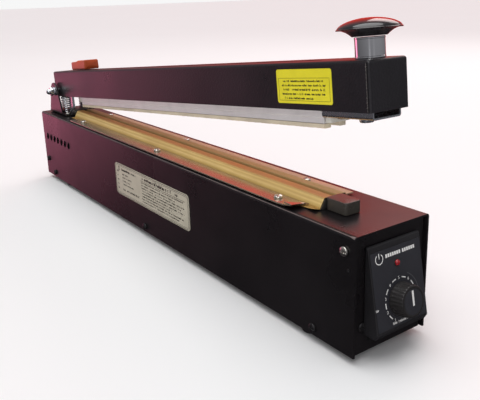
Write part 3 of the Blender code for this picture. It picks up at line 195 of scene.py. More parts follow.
def boxes(rects, low, high):
    # one thin closed box over each (x0, x1, y0, y1), all at once
    rects = np.array(rects, float).reshape(-1, 4)
    x0, x1, y0, y1 = rects.T
    ring = np.stack([np.stack([x0, y0], -1), np.stack([x1, y0], -1), np.stack([x1, y1], -1), np.stack([x0, y1], -1)], 1)
    bottom = np.concatenate([ring, np.full(ring.shape[:2] + (1,), low)], axis=-1)
    top = np.concatenate([ring, np.full(ring.shape[:2] + (1,), high)], axis=-1)
    points = np.concatenate([bottom, top], axis=1).reshape(-1, 3)
    sides = np.array([(0, 1, 5, 4), (1, 2, 6, 5), (2, 3, 7, 6), (3, 0, 4, 7), (4, 5, 6, 7), (3, 2, 1, 0)])
    faces = (np.arange(len(rects))[:, None, None] * 8 + sides).reshape(-1, 4)
    return {"points": points, "faces": [faces]}


def plate(width, height, corner, thickness, edge=0.1 * mm):
    rows = [(0, 0), (0, thickness - edge), (edge, thickness)]
    outlines = [np.column_stack([roundedOutline(width - 2 * inset, height - 2 * inset, corner - inset),
                                 np.full(4 * 9, z)]) for inset, z in rows]
    return skin(np.stack(outlines), around=True, capStart=True, capEnd=True)


def frameLine(width, height, corner, line, low, high):
    # a printed rounded border: two outlines a line's width apart, closed above and below
    sections = [(0, low), (0, high), (line, high), (line, low), (0, low)]
    outlines = [np.column_stack([roundedOutline(width - 2 * inset, height - 2 * inset, corner - inset),
                                 np.full(4 * 9, z)]) for inset, z in sections]
    return skin(np.stack(outlines), around=True)


def arcBand(centre, radius, width, start, end, low, high, pieces=12):
    # a printed arc: a small rectangle carried along part of a circle
    angle = np.radians(np.linspace(start, end, pieces + 1))
    section = np.array([(-width / 2, low), (width / 2, low), (width / 2, high), (-width / 2, high)])
    reach = radius + section[:, 0]
    grid = np.stack([centre[0] + np.outer(np.cos(angle), reach), centre[1] + np.outer(np.sin(angle), reach),
                     np.tile(section[:, 1], (pieces + 1, 1))], axis=-1)
    return skin(grid, around=True, capStart=True, capEnd=True)


def markRows(rows, seed):
    # rows of small upright strokes and bars that stand for small print: each row is (x, y, length, height, weight)
    dice = np.random.default_rng(seed)
    rects = []
    for x, y, length, height, weight in rows:
        pitch = 0.72 * height
        starts = x + np.arange(int(length / pitch)) * pitch
        kept = starts[dice.random(len(starts)) > 0.17]
        stem = weight * height
        tall = height * dice.choice([0.72, 0.72, 1.0], len(kept))
        bar = y + tall * dice.choice([0.0, 0.42, 0.84], len(kept))
        rects.append(np.stack([kept, kept + stem, np.full(len(kept), y), y + tall], axis=-1))
        rects.append(np.stack([kept, kept + 0.55 * height, bar, bar + 0.8 * stem], axis=-1))
        second = kept[dice.random(len(kept)) > 0.45] + 0.42 * height
        rects.append(np.stack([second, second + stem, np.full(len(second), y), np.full(len(second), y + 0.7 * height)],
                              axis=-1))
    return np.vstack(rects)


def meshOf(name, surface, tidy=True):
    mesh = bpy.data.meshes.new(name)
    mesh.from_pydata(surface["points"].tolist(), [], [face for group in surface["faces"] for face in group.tolist()])
    if tidy:
        work = bmesh.new()
        work.from_mesh(mesh)
        bmesh.ops.remove_doubles(work, verts=work.verts, dist=0.0005 * mm)
        bmesh.ops.recalc_face_normals(work, faces=work.faces)
        work.to_mesh(mesh)
        work.free()
    mesh.update()
    return mesh


def finished(name, surface, material, body, replaces=(), sharp=35, tidy=True):
    mesh = meshOf(name, surface, tidy)
    mesh.polygons.foreach_set("use_smooth", np.ones(len(mesh.polygons), bool))
    mesh.set_sharp_from_angle(angle=math.radians(sharp))
    mesh.materials.append(material)
    piece = bpy.data.objects.new(name, mesh)
    bpy.context.scene.collection.objects.link(piece)
    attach(piece, body)
    if replaces:
        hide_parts(*replaces)
    return piece


# Finishes: one Principled shader each, with its pattern on the piece's own object coordinates.
def shaderOf(material):
    return material.node_tree.nodes["Principled BSDF"]


def newFinish(name, colour, roughness, metallic=0.0, **sockets):
    material = bpy.data.materials.new(name)
    material.use_nodes = True
    shader = shaderOf(material)
    shader.inputs["Base Color"].default_value = (*colour, 1)
    shader.inputs["Roughness"].default_value = roughness
    shader.inputs["Metallic"].default_value = metallic
    for socket, value in sockets.items():
        shader.inputs[socket.replace("_", " ")].default_value = value
    return material


def addNode(material, kind, **settings):
    node = material.node_tree.nodes.new(kind)
    for name, value in settings.items():
        setattr(node, name, value)
    return node


def link(material, start, end):
    material.node_tree.links.new(start, end)


def coordinates(material, scale=(1, 1, 1), turn=0.0, centre=(0, 0, 0)):
    # object coordinates, turned about Y and stretched, so that a pattern follows the piece
    where = addNode(material, "ShaderNodeTexCoord")
    mapping = addNode(material, "ShaderNodeMapping")
    mapping.inputs["Location"].default_value = centre
    mapping.inputs["Rotation"].default_value = (0, turn, 0)
    mapping.inputs["Scale"].default_value = scale
    link(material, where.outputs["Object"], mapping.inputs["Vector"])
    return mapping.outputs["Vector"]


def noise(material, vector, scale, detail=4.0, roughness=0.55, distortion=0.0):
    pattern = addNode(material, "ShaderNodeTexNoise")
    pattern.inputs["Scale"].default_value = scale
    pattern.inputs["Detail"].default_value = detail
    pattern.inputs["Roughness"].default_value = roughness
    pattern.inputs["Distortion"].default_value = distortion
    link(material, vector, pattern.inputs["Vector"])
    return pattern.outputs["Fac"]


def cells(material, vector, scale, smooth=0.35):
    pattern = addNode(material, "ShaderNodeTexVoronoi", feature="SMOOTH_F1")
    pattern.inputs["Scale"].default_value = scale
    pattern.inputs["Smoothness"].default_value = smooth
    link(material, vector, pattern.inputs["Vector"])
    return pattern.outputs["Distance"]


def mapped(material, value, fromLow, fromHigh, toLow, toHigh):
    change = addNode(material, "ShaderNodeMapRange")
    for socket, number in zip(("From Min", "From Max", "To Min", "To Max"), (fromLow, fromHigh, toLow, toHigh)):
        change.inputs[socket].default_value = number
    link(material, value, change.inputs["Value"])
    return change.outputs["Result"]


def ramp(material, value, stops):
    change = addNode(material, "ShaderNodeValToRGB")
    elements = change.color_ramp.elements
    while len(elements) < len(stops):
        elements.new(0.5)
    for element, (place, colour) in zip(elements, stops):
        element.position = place
        element.color = (*colour, 1)
    link(material, value, change.inputs["Fac"])
    return change.outputs["Color"]


def calculated(material, operation, first, second):
    step = addNode(material, "ShaderNodeMath", operation=operation)
    for socket, value in zip(step.inputs, (first, second)):
        if isinstance(value, (int, float)):
            socket.default_value = value
        else:
            link(material, value, socket)
    return step.outputs["Value"]


def mixed(material, factor, first, second, blend="MIX"):
    mix = addNode(material, "ShaderNodeMix", data_type="RGBA", blend_type=blend)
    for socket, value in zip((mix.inputs[0], mix.inputs[6], mix.inputs[7]), (factor, first, second)):
        if isinstance(value, (int, float)):
            socket.default_value = value
        elif isinstance(value, tuple):
            socket.default_value = (*value, 1)
        else:
            link(material, value, socket)
    return mix.outputs[2]


def setColour(material, colour):
    link(material, colour, shaderOf(material).inputs["Base Color"])


def setRoughness(material, value):
    link(material, value, shaderOf(material).inputs["Roughness"])


def setBump(material, height, strength, distance):
    bump = addNode(material, "ShaderNodeBump")
    bump.inputs["Strength"].default_value = strength
    bump.inputs["Distance"].default_value = distance
    link(material, height, bump.inputs["Height"])
    link(material, bump.outputs["Normal"], shaderOf(material).inputs["Normal"])


def grainPaint(name, settings):
    # stoved leather-grain enamel: rounded cells with fine noise over them, glossier on their crowns
    colour = settings["colour"]
    material = newFinish(name, colour, settings["roughness"], Specular_IOR_Level=settings["specular"])
    where = coordinates(material, turn=settings.get("turn", 0.0))
    grain = cells(material, where, settings["cellsPerMetre"])
    fine = noise(material, where, settings["cellsPerMetre"] * 2.6, detail=3)
    height = calculated(material, "ADD", calculated(material, "MULTIPLY", grain, 0.8),
                        calculated(material, "MULTIPLY", fine, 0.35))
    setBump(material, height, settings["bump"], settings["depth"])
    cloudy = noise(material, where, 14, detail=5)
    worn = ramp(material, cloudy, [(0.3, tuple(0.72 * c for c in colour)), (0.7, tuple(1.35 * c for c in colour))])
    # light flecks where the fine noise runs high: painted highlight, the glints of the grain painted into the colour
    speckle = mapped(material, fine, 0.6, 0.78, 0, 0.35)
    setColour(material, mixed(material, speckle, worn, settings["speckle"]))
    rough = settings["roughness"]
    setRoughness(material, mapped(material, cloudy, 0.3, 0.7, rough - 0.06, rough + 0.08))
    return material


def metal(name, settings):
    # plated or polished metal: cloudy roughness with fine lines along one way
    material = newFinish(name, settings["colour"], settings["roughness"], settings.get("metallic", 1.0))
    where = coordinates(material, scale=settings.get("lines", (1, 1, 1)), turn=settings.get("turn", 0.0))
    lines = noise(material, where, settings["lineScale"], detail=5, roughness=0.6)
    cloudy = noise(material, coordinates(material), settings.get("cloudScale", 60), detail=4)
    dull = tuple(settings.get("dull", 0.8) * c for c in settings["colour"])
    setColour(material, mixed(material, mapped(material, cloudy, 0.35, 0.7, 0, 0.7), settings["colour"], dull))
    blend = calculated(material, "ADD", calculated(material, "MULTIPLY", lines, 0.6),
                       calculated(material, "MULTIPLY", cloudy, 0.4))
    rough = settings["roughness"]
    setRoughness(material, mapped(material, blend, 0.35, 0.65, 0.7 * rough, 1.35 * rough))
    setBump(material, lines, settings.get("bump", 0.08), settings.get("depth", 0.02 * mm))
    return material


def plastic(name, settings):
    # moulded plastic or rubber: fine mould texture and slight handling marks
    colour = settings["colour"]
    material = newFinish(name, colour, settings["roughness"], **settings.get("sockets", {}))
    where = coordinates(material)
    fine = noise(material, where, settings.get("texture", 2600), detail=3)
    cloudy = noise(material, where, settings.get("cloudScale", 45), detail=5)
    lighter = tuple(min(1.0, settings.get("lighter", 1.25) * c) for c in colour)
    darker = tuple(0.82 * c for c in colour)
    setColour(material, ramp(material, cloudy, [(0.3, darker), (0.55, colour), (0.75, lighter)]))
    rough = settings["roughness"]
    setRoughness(material, mapped(material, cloudy, 0.3, 0.7, 0.8 * rough, min(1.0, 1.3 * rough)))
    setBump(material, fine, settings.get("bump", 0.12), settings.get("depth", 0.03 * mm))
    return material


def printed(name, colour, roughness=0.5):
    # ink or label face: faint fading and a paper-fine bump
    material = newFinish(name, colour, roughness)
    where = coordinates(material)
    fading = noise(material, where, 90, detail=4)
    setColour(material, ramp(material, fading, [(0.3, tuple(0.9 * c for c in colour)), (0.7, colour)]))
    setRoughness(material, mapped(material, fading, 0.3, 0.7, roughness - 0.08, roughness + 0.08))
    setBump(material, noise(material, where, 3000, detail=2), 0.05, 0.01 * mm)
    return material


finishes = {
    "casing": dict(colour=(0.009, 0.0075, 0.0085), roughness=0.29, specular=0.5, cellsPerMetre=900, bump=0.35,
                   depth=0.08 * mm, speckle=(0.05, 0.048, 0.055)),
    "arm": dict(colour=(0.012, 0.0105, 0.013), roughness=0.31, specular=0.5, cellsPerMetre=620, bump=0.6,
                depth=0.16 * mm, speckle=(0.085, 0.08, 0.1), turn=armOpen),
    "console": dict(colour=(0.017, 0.016, 0.018), roughness=0.42, specular=0.4, cellsPerMetre=1300, bump=0.3,
                    depth=0.06 * mm, speckle=(0.05, 0.05, 0.055)),
    "bracket": dict(colour=(0.014, 0.012, 0.013), roughness=0.32, specular=0.55, cellsPerMetre=1500, bump=0.15,
                    depth=0.04 * mm, speckle=(0.05, 0.045, 0.045)),
}
casingPaint = grainPaint("casingPaint", finishes["casing"])
armPaint = grainPaint("armPaint", finishes["arm"])
consolePaint = grainPaint("consolePaint", finishes["console"])
bracketPaint = grainPaint("bracketPaint", finishes["bracket"])

metals = {
    "channel": dict(colour=(0.8, 0.775, 0.77), roughness=0.42, metallic=0.15, lines=(2, 60, 60), lineScale=22,
                    turn=armOpen, dull=0.86, bump=0.12),
    "heaterBar": dict(colour=(0.5, 0.5, 0.5), roughness=0.35, lines=(2, 60, 60), lineScale=20),
    "frontStrip": dict(colour=(0.5, 0.4, 0.3), roughness=0.22, metallic=0.8, lines=(3, 80, 80), lineScale=16, bump=0.05,
                       dull=0.8),
    "backStrip": dict(colour=(0.62, 0.43, 0.28), roughness=0.5, metallic=0.25, lines=(3, 80, 80), lineScale=16,
                      bump=0.1, dull=0.8),
    "chrome": dict(colour=(0.86, 0.86, 0.88), roughness=0.07, lines=(1, 1, 40), lineScale=60, bump=0.02, dull=0.95),
    "nickel": dict(colour=(0.75, 0.72, 0.66), roughness=0.24, lineScale=900, bump=0.1),
    "zinc": dict(colour=(0.78, 0.8, 0.84), roughness=0.25, lineScale=700, bump=0.1),
    "steel": dict(colour=(0.46, 0.46, 0.47), roughness=0.36, lines=(4, 50, 50), lineScale=30),
    "blackScrew": dict(colour=(0.03, 0.028, 0.03), roughness=0.34, metallic=0.5, lineScale=800, bump=0.12),
    "nichrome": dict(colour=(0.36, 0.33, 0.31), roughness=0.38, lines=(3, 60, 60), lineScale=25),
    "iron": dict(colour=(0.16, 0.16, 0.17), roughness=0.5, metallic=0.7, lines=(1, 220, 1), lineScale=8, bump=0.4,
                 depth=0.1 * mm),
    "copper": dict(colour=(0.62, 0.25, 0.1), roughness=0.32, lines=(1, 1, 160), lineScale=10, bump=0.5, depth=0.2 * mm),
}
channelMetal, heaterMetal, frontStrip, backStrip, chrome, nickel, zinc, steel, blackScrew, nichrome, iron, copper = (
    metal(name, settings) for name, settings in metals.items())

plastics = {
    "capPlastic": dict(colour=(0.012, 0.011, 0.012), roughness=0.12, bump=0.03,
                       sockets=dict(Coat_Weight=0.5, Coat_Roughness=0.06)),
    "dialPlastic": dict(colour=(0.02, 0.018, 0.018), roughness=0.32, bump=0.1),
    "gripPlastic": dict(colour=(0.58, 0.09, 0.022), roughness=0.34, bump=0.12, lighter=1.4),
    "blockPlastic": dict(colour=(0.075, 0.066, 0.056), roughness=0.3, bump=0.15, lighter=1.5),
    "siliconePad": dict(colour=(0.72, 0.63, 0.47), roughness=0.62, bump=0.3, depth=0.08 * mm, texture=1500,
                        lighter=1.12),
    "nylonPlastic": dict(colour=(0.72, 0.7, 0.62), roughness=0.42, lighter=1.1),
    "footRubber": dict(colour=(0.016, 0.016, 0.017), roughness=0.62, bump=0.3),
    "switchPlastic": dict(colour=(0.02, 0.02, 0.022), roughness=0.4),
    "plungerPlastic": dict(colour=(0.6, 0.2, 0.05), roughness=0.4),
    "boardLaminate": dict(colour=(0.03, 0.16, 0.06), roughness=0.45),
    "leadCover": dict(colour=(0.55, 0.5, 0.42), roughness=0.55, bump=0.2),
}
(capPlastic, dialPlastic, gripPlastic, blockPlastic, siliconePad, nylonPlastic, footRubber, switchPlastic,
 plungerPlastic, boardLaminate, leadCover) = (plastic(name, settings) for name, settings in plastics.items())

lampRed = newFinish("lampRed", (0.42, 0.012, 0.02), 0.12, Coat_Weight=0.6)
lampWhere = coordinates(lampRed)
setColour(lampRed, ramp(lampRed, cells(lampRed, lampWhere, 700),
                        [(0.1, (0.6, 0.03, 0.04)), (0.6, (0.25, 0.006, 0.01))]))
setBump(lampRed, cells(lampRed, lampWhere, 900), 0.2, 0.05 * mm)

labelYellow = printed("labelYellow", (0.87, 0.78, 0.012), 0.42)
plateCream = printed("plateCream", (0.55, 0.51, 0.4), 0.4)
faceSlate = printed("faceSlate", (0.028, 0.028, 0.035), 0.42)
inkBlack = printed("inkBlack", (0.02, 0.018, 0.016), 0.55)
inkWhite = printed("inkWhite", (0.8, 0.8, 0.78), 0.45)
inkGrey = printed("inkGrey", (0.13, 0.13, 0.14), 0.4)
holeBlack = printed("holeBlack", (0.004, 0.004, 0.004), 0.8)
print("finishes made:", len(bpy.data.materials))

# The frame's own solids take their finishes.
nodeFinishes = {
    casingPaint: ["base_casing", "bottom_plate", "front_end_panel", "rear_end_panel"],
    consolePaint: ["control_console"],
    armPaint: ["arm_cover"],
    bracketPaint: ["hinge_bracket"],
    channelMetal: ["press_channel"],
    heaterMetal: ["heater_bar"],
    nichrome: ["front_heating_element", "back_heating_element"],
    zinc: ["arm_lever", "arm_end_bracket"],
    nylonPlastic: ["cutter_carriage"],
    steel: ["cutter_blade"],
    switchPlastic: ["micro_switch"],
    plungerPlastic: ["switch_plunger"],
    boardLaminate: ["timer_board"],
    leadCover: ["wiring_harness"],
    iron: ["transformer_core"],
    copper: ["transformer_coil"],
}
for finish, names in nodeFinishes.items():
    for name in names:
        nodes[name].data.materials.clear()
        nodes[name].data.materials.append(finish)

# Press handle: a plated column and a moulded mushroom cap on the arm's near end.
handle = dict(columnRing=0.35 * mm, capRim=0.55 * mm, capThickness=1.3 * mm, capDip=0.25 * mm, sinkRadius=2.2 * mm)


def pressHandle():
    low, high = armBox("handle_column")
    capLow, capHigh = armBox("handle_cap")
    coverHigh = armBox("arm_cover")[1]
    along, radius = (low[0] + high[0]) / 2, (high[0] - low[0]) / 2
    foot, top, ring = coverHigh[2] + 0.1 * mm, high[2], handle["columnRing"]
    column = [(0, foot), (radius - ring, foot), (radius, foot + ring), (radius, foot + 3 * ring),
              (radius - 0.5 * ring, foot + 3.6 * ring), (radius - 0.5 * ring, top - 3.6 * ring),
              (radius, top - 3 * ring), (radius, top - ring), (radius - ring, top), (0, top)]
    place = armPlace(along, 0, 0)
    finished("handleColumn", placed(lathe(column, 96), place), chrome, "arm", ["handle_column"])
    reach, rim = (capHigh[0] - capLow[0]) / 2, capLow[2] + handle["capThickness"] + 3.2 * mm
    turn = np.radians(np.linspace(90, 4, 26))
    dome = np.column_stack([(reach - handle["capRim"]) * np.cos(turn), rim + (capHigh[2] - rim) * np.sin(turn) ** 1.15])
    edge = arcPoints((reach - handle["capRim"], rim), handle["capRim"], 0, -120, 8)
    share = np.linspace(0, 1, 18)[1:]
    under = np.column_stack([edge[-1, 0] + (0.53 * reach - edge[-1, 0]) * share ** 0.82,
                             edge[-1, 1] + (capLow[2] - edge[-1, 1]) * share ** 1.7])
    profile = np.vstack([dome, edge, under, [(0.53 * reach, capLow[2]), (0, capLow[2])]])
    finished("handleCap", placed(lathe(profile, 128), place), capPlastic, "arm", ["handle_cap"], 50)


pressHandle()

# Fasteners: domed heads with a cross recess, their shanks drawn down inside the metal.
screwSizes = dict(rings=9, steps=48, slotHalf=0.34 * mm, slotReach=0.62, slotDepth=0.75 * mm)


def screwSurface(radius, height, shank, shankRadius):
    # height over the head = a flattened dome less a smooth cross-shaped recess
    share = np.linspace(0, 1, screwSizes["rings"] * 2)[:, None]
    angle = np.linspace(0, 2 * np.pi, screwSizes["steps"], endpoint=False)[None, :]
    x, y = share * radius * np.cos(angle), share * radius * np.sin(angle)
    half, reach = screwSizes["slotHalf"], screwSizes["slotReach"] * radius
    nearBar = np.minimum(np.maximum(np.abs(x) / half, np.abs(y) / reach),
                         np.maximum(np.abs(y) / half, np.abs(x) / reach))
    recess = np.clip(1.6 - nearBar, 0, 0.6) / 0.6
    dome = height * (0.42 + 0.58 * np.sqrt(np.clip(1 - share ** 2, 0, 1)))
    head = np.stack([x, y, dome - screwSizes["slotDepth"] * recess + 0 * x], axis=-1)
    sides = [(radius, 0.1 * mm), (0.98 * radius, 0), (shankRadius, 0), (shankRadius, -shank), (0, -shank)]
    below = np.stack([np.stack([r * np.cos(angle[0]), r * np.sin(angle[0]), z + 0 * angle[0]], -1) for r, z in sides])
    return skin(np.concatenate([head, below]), around=True)


def screwPiece(name, node, place, finish, thick=2.2 * mm):
    low, high = (np.array(corner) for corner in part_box(node))
    radius = np.sort(high - low)[1] / 2
    surface = screwSurface(radius, thick, 4.6 * mm, 1.4 * mm)
    finished(name, placed(surface, place), finish, "base", [node])


def casingScrews():
    kinds = {"tray_screw_rear": blackScrew, "tray_screw_middle": blackScrew, "tray_screw_near": blackScrew,
             "rear_panel_screw": blackScrew, "front_panel_screw": nickel}
    for stem, finish in kinds.items():
        for side, turnedTo, face in (("front", onFront, casingLow[1]), ("back", onBack, casingHigh[1])):
            node = f"{stem}_{side}"
            centre = centreOf(node)
            outward = -0.3 * mm if side == "front" else 0.3 * mm
            screwPiece(node + "_head", node, turnedTo(centre[0], face + outward, centre[2]), finish, 1.9 * mm)


def topScrews():
    names = [f"strip_screw_{side}_{number}" for side in ("front", "back") for number in (1, 2, 3)]
    for number, node in enumerate(names + ["bracket_screw_front", "bracket_screw_back"]):
        low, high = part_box(node)
        centre = centreOf(node)
        angle = 0.5 + 0.9 * number
        place = axesFrame((centre[0], centre[1], high[2] - 2.2 * mm), (math.cos(angle), math.sin(angle), 0),
                          (-math.sin(angle), math.cos(angle), 0))
        screwPiece(node + "_head", node, place, nickel)


casingScrews()
topScrews()
print("handle and fasteners made")

# Hinge: a domed nut and a bolt head outside the ears, two closed-end coil springs between them.
hinge = dict(flats=9 * mm, nutHeight=5 * mm, domeRadius=3.5 * mm, domeHeight=4.5 * mm, headHeight=4 * mm,
             springTurns=9, springAhead=13 * mm, springApart=22 * mm, springWire=1.5 * mm, springWidth=12 * mm,
             springKeep=0.955)


def hexagon(flats, low, high, steps=72, chamfer=0.55 * mm):
    # distance to a hexagon's side = half flats / cos(angle from the side's middle), cut by a cone at both ends
    angle = np.linspace(0, 2 * np.pi, steps, endpoint=False)
    away = (angle + np.pi / 6) % (np.pi / 3) - np.pi / 6
    side = flats / 2 / np.cos(away)
    rows = [(low, 0), (low, flats / 2), (low + chamfer, 9), (high - chamfer, 9), (high, flats / 2), (high, 0)]
    grid = [np.stack([np.minimum(side, r) * np.cos(angle), np.minimum(side, r) * np.sin(angle), z + 0 * angle], -1)
            for z, r in rows]
    return skin(np.stack(grid), around=True)


def hingeHardware():
    low, high = (np.array(corner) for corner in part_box("hinge_bracket"))
    turn = np.radians(np.linspace(90, 0, 14))
    dome = np.column_stack([hinge["domeRadius"] * np.cos(turn),
                            hinge["nutHeight"] + hinge["domeHeight"] * np.sin(turn)])
    dome = np.vstack([dome, [(hinge["domeRadius"], hinge["nutHeight"] - 1 * mm), (0, hinge["nutHeight"] - 1 * mm)]])
    washer = lathe([(0, 0.1 * mm), (5.2 * mm, 0.1 * mm), (5.35 * mm, 0.25 * mm), (5.2 * mm, 0.5 * mm),
                    (0, 0.5 * mm)], 64)
    nut = joined([hexagon(hinge["flats"], 0.5 * mm, hinge["nutHeight"]), lathe(dome, 64), washer])
    finished("domedNut", placed(nut, onFront(pivot[0], low[1], pivot[2])), zinc, "base", ["hinge_domed_nut"])
    shank = lathe([(0, -(high[1] - low[1])), (2.95 * mm, -(high[1] - low[1])), (2.95 * mm, 1 * mm), (0, 1 * mm)], 40)
    head = joined([hexagon(hinge["flats"], 0.5 * mm, hinge["headHeight"]), washer, shank])
    finished("boltHead", placed(head, onBack(pivot[0], high[1], pivot[2])), steel, "base",
             ["pivot_bolt"])


def coilSpring(side, across):
    # wire centre: a helix whose rise is slow over its first and last turn; the wire's circle turns with the radius
    low, high = (np.array(corner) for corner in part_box(f"return_spring_{side}"))
    wire, radius = hinge["springWire"] / 2, (hinge["springWidth"] - hinge["springWire"]) / 2
    share = np.linspace(0, 1, hinge["springTurns"] * 36 + 1)
    angle = 2 * np.pi * hinge["springTurns"] * share
    rise = np.clip((share - 0.1) / 0.8, 0, 1)
    height = low[2] + wire + (high[2] - low[2] - 2 * wire) * (0.94 * rise + 0.06 * share)
    outward = np.stack([np.cos(angle), np.sin(angle), 0 * angle], axis=-1)
    centre = radius * outward
    centre[:, 2] = height
    turn = np.linspace(0, 2 * np.pi, 12, endpoint=False)
    ring = np.cos(turn)[None, :, None] * outward[:, None, :] + np.sin(turn)[None, :, None] * np.array([0, 0, 1.0])
    grid = centre[:, None, :] + wire * ring + np.array([pivot[0] + hinge["springAhead"], sealLine + across, 0])
    spring = finished(f"returnSpring_{side}", skin(grid, around=True, capStart=True, capEnd=True), zinc, "base",
                      [f"return_spring_{side}"], 60)
    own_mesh(spring)


hingeHardware()
coilSpring("front", -hinge["springApart"] / 2)
coilSpring("back", hinge["springApart"] / 2)

# Timer dial with finger flutes and a pointer; its scale is printed on the console's face plate.
dial = dict(flutes=28, fluteDepth=0.28 * mm, faceInset=0.5 * mm, pointerWidth=1.5 * mm, sweep=150, scaleRadius=13.6 * mm,
            numerals=9, numeralHeight=2.0 * mm, dashWidth=0.75 * mm, ringRadius=16.6 * mm)


def timerDial():
    # radius around = plain radius less a shallow cosine flute, fading out at the top edge and the foot
    high = nodePoints("timer_knob")
    reach = (high - dialCentre) @ faceNormal
    top, radius = reach.max(), np.linalg.norm(np.cross(high - dialCentre, faceNormal), axis=-1).max()
    angle = np.linspace(0, 2 * np.pi, dial["flutes"] * 10, endpoint=False)
    rows = [(0, top - 0.15 * mm, 0), (radius - 2.6 * mm, top - 0.15 * mm, 0), (radius - 2.2 * mm, top, 0),
            (radius - 1.3 * mm, top, 0), (radius - 0.85 * mm, top - 0.25 * mm, 0.3),
            (radius - 0.55 * mm, top - 0.9 * mm, 1),
            (radius - 0.1 * mm, 2.2 * mm, 1), (radius, 1.7 * mm, 0.1), (radius, 0.5 * mm, 0), (0, 0.5 * mm, 0)]
    flute = 0.5 - 0.5 * np.cos(angle * dial["flutes"])
    grid = [np.stack([(r - dial["fluteDepth"] * deep * flute) * np.cos(angle),
                      (r - dial["fluteDepth"] * deep * flute) * np.sin(angle), z + 0 * angle], -1)
            for r, z, deep in rows]
    shaft = lathe([(0, -9 * mm), (2.9 * mm, -9 * mm), (2.9 * mm, 0.6 * mm), (0, 0.6 * mm)], 32)
    knob = joined([skin(np.stack(grid), around=True), shaft])
    finished("timerDial", placed(knob, consolePlace(0, 0)), dialPlastic, "dial", ["timer_knob"], 40)
    disc = lathe([(0, top - 0.12 * mm), (radius - 2.75 * mm, top - 0.12 * mm), (radius - 2.8 * mm, top - 0.02 * mm),
                  (0, top - 0.02 * mm)], 96)
    finished("dialFace", placed(disc, consolePlace(0, 0)), faceSlate, "dial")
    half = dial["pointerWidth"] / 2
    pointer = boxes([(-half, half, -0.23 * radius, 0.66 * radius)], top - 0.05 * mm, top + 0.05 * mm)
    finished("dialPointer", placed(pointer, consolePlace(0, 0)), inkWhite, "dial")


def numeral(text, x, y, size, high):
    # a plain figure: its outline made a mesh, then centred and placed on the face
    curve = bpy.data.curves.new("numeral", "FONT")
    curve.body, curve.size, curve.extrude = text, size * 1.4, 0.03 * mm
    curve.align_x, curve.align_y = "CENTER", "CENTER"
    guide = bpy.data.objects.new("numeral", curve)
    bpy.context.scene.collection.objects.link(guide)
    bpy.context.view_layer.update()
    mesh = bpy.data.meshes.new_from_object(guide.evaluated_get(bpy.context.evaluated_depsgraph_get()))
    bpy.data.objects.remove(guide)
    flat = np.empty(len(mesh.vertices) * 3)
    mesh.vertices.foreach_get("co", flat)
    points = flat.reshape(-1, 3) + np.array([x, y, high])
    triangles = [face.vertices[:] for face in mesh.polygons]
    faces = [np.array([f for f in triangles if len(f) == size]) for size in sorted({len(f) for f in triangles})]
    return {"points": points, "faces": faces}


def dialScale(high):
    limit, count, radius = dial["sweep"], dial["numerals"], dial["scaleRadius"]
    turns = np.linspace(90 + limit, 90 - limit, count)
    step = 2 * limit / (count - 1)
    dashes = [arcBand((0, 0), radius, dial["dashWidth"], a - 0.3 * step, a - 0.7 * step, high, high + 0.05 * mm)
              for a in turns[:-1]]
    figures = [numeral(str(number + 1), radius * math.cos(math.radians(a)), radius * math.sin(math.radians(a)),
                       dial["numeralHeight"], high + 0.03 * mm) for number, a in enumerate(turns)]
    return joined(dashes + figures)


facePlate = dict(margin=1.0 * mm, corner=1.2 * mm, thickness=0.25 * mm, topInset=3.2 * mm, footInset=1.6 * mm)


def consoleFace():
    points = nodePoints("control_console")
    across = points[:, 1].max() - points[:, 1].min()
    onFace = points[np.abs((points - dialCentre) @ faceNormal) < 0.05 * mm]
    reach = (onFace - dialCentre) @ faceUp
    top, foot = reach.max() - facePlate["topInset"], reach.min() + facePlate["footInset"]
    width, height, middle = across - 2 * facePlate["margin"], top - foot, (top + foot) / 2
    sheet = placed(plate(width, height, facePlate["corner"], facePlate["thickness"], 0.05 * mm),
                   consolePlace(0, middle, 0.05 * mm))
    finished("consoleFacePlate", sheet, faceSlate, "base")
    high = facePlate["thickness"] + 0.03 * mm
    markStart = [(-9.5 + 1.95 * n + (1.2 if n > 6 else 0)) * mm for n in range(13)]
    title = [(x, x + 1.45 * mm, top - 5.4 * mm, top - 3.2 * mm) for x in markStart]
    title = np.vstack([title, markRows([(-9 * mm, foot + 1.6 * mm, 20 * mm, 1.7 * mm, 0.2)], 4)])
    symbol = [arcBand((-15 * mm, top - 4.9 * mm), 3.1 * mm, 0.55 * mm, 125, 415, high, high + 0.05 * mm, 30),
              boxes([(-15.3 * mm, -14.7 * mm, top - 4.7 * mm, top - 1.2 * mm)], high, high + 0.05 * mm)]
    small = markRows([(-22.4 * mm, -2.2 * mm, 3.6 * mm, 1.3 * mm, 0.2)], 9)
    ink = joined([boxes(title, high, high + 0.05 * mm), boxes(small, high, high + 0.05 * mm), dialScale(high)] + symbol)
    finished("consolePrint", placed(ink, consolePlace(0, 0)), inkWhite, "base")
    ring = arcBand((0, 0), dial["ringRadius"], 0.3 * mm, 62, -62, high, high + 0.04 * mm, 40)
    finished("consoleRing", placed(ring, consolePlace(0, 0)), inkGrey, "base")


def lamp():
    # a moulded lens with a stepped foot, in a thin collar
    centre = centreOf("lamp_lens")
    points = nodePoints("lamp_lens")
    up = float((centre - dialCentre) @ faceUp)
    radius = (points[:, 1].max() - points[:, 1].min()) / 2
    turn = np.radians(np.linspace(90, 0, 12))
    lens = np.vstack([np.column_stack([0.92 * radius * np.cos(turn), 0.5 * mm + 1.5 * mm * np.sin(turn)]),
                      [(0.92 * radius, -3.9 * mm), (0, -3.9 * mm)]])
    finished("lampLens", placed(lathe(lens, 48), consolePlace(0, up)), lampRed, "base", ["lamp_lens"])
    collar = lathe([(0.95 * radius, 0.1 * mm), (1.25 * radius, 0.1 * mm), (1.25 * radius, 0.4 * mm),
                    (1.1 * radius, 0.6 * mm), (0.95 * radius, 0.5 * mm), (0.95 * radius, 0.1 * mm)], 48)
    finished("lampCollar", placed(collar, consolePlace(0, up)), dialPlastic, "base")


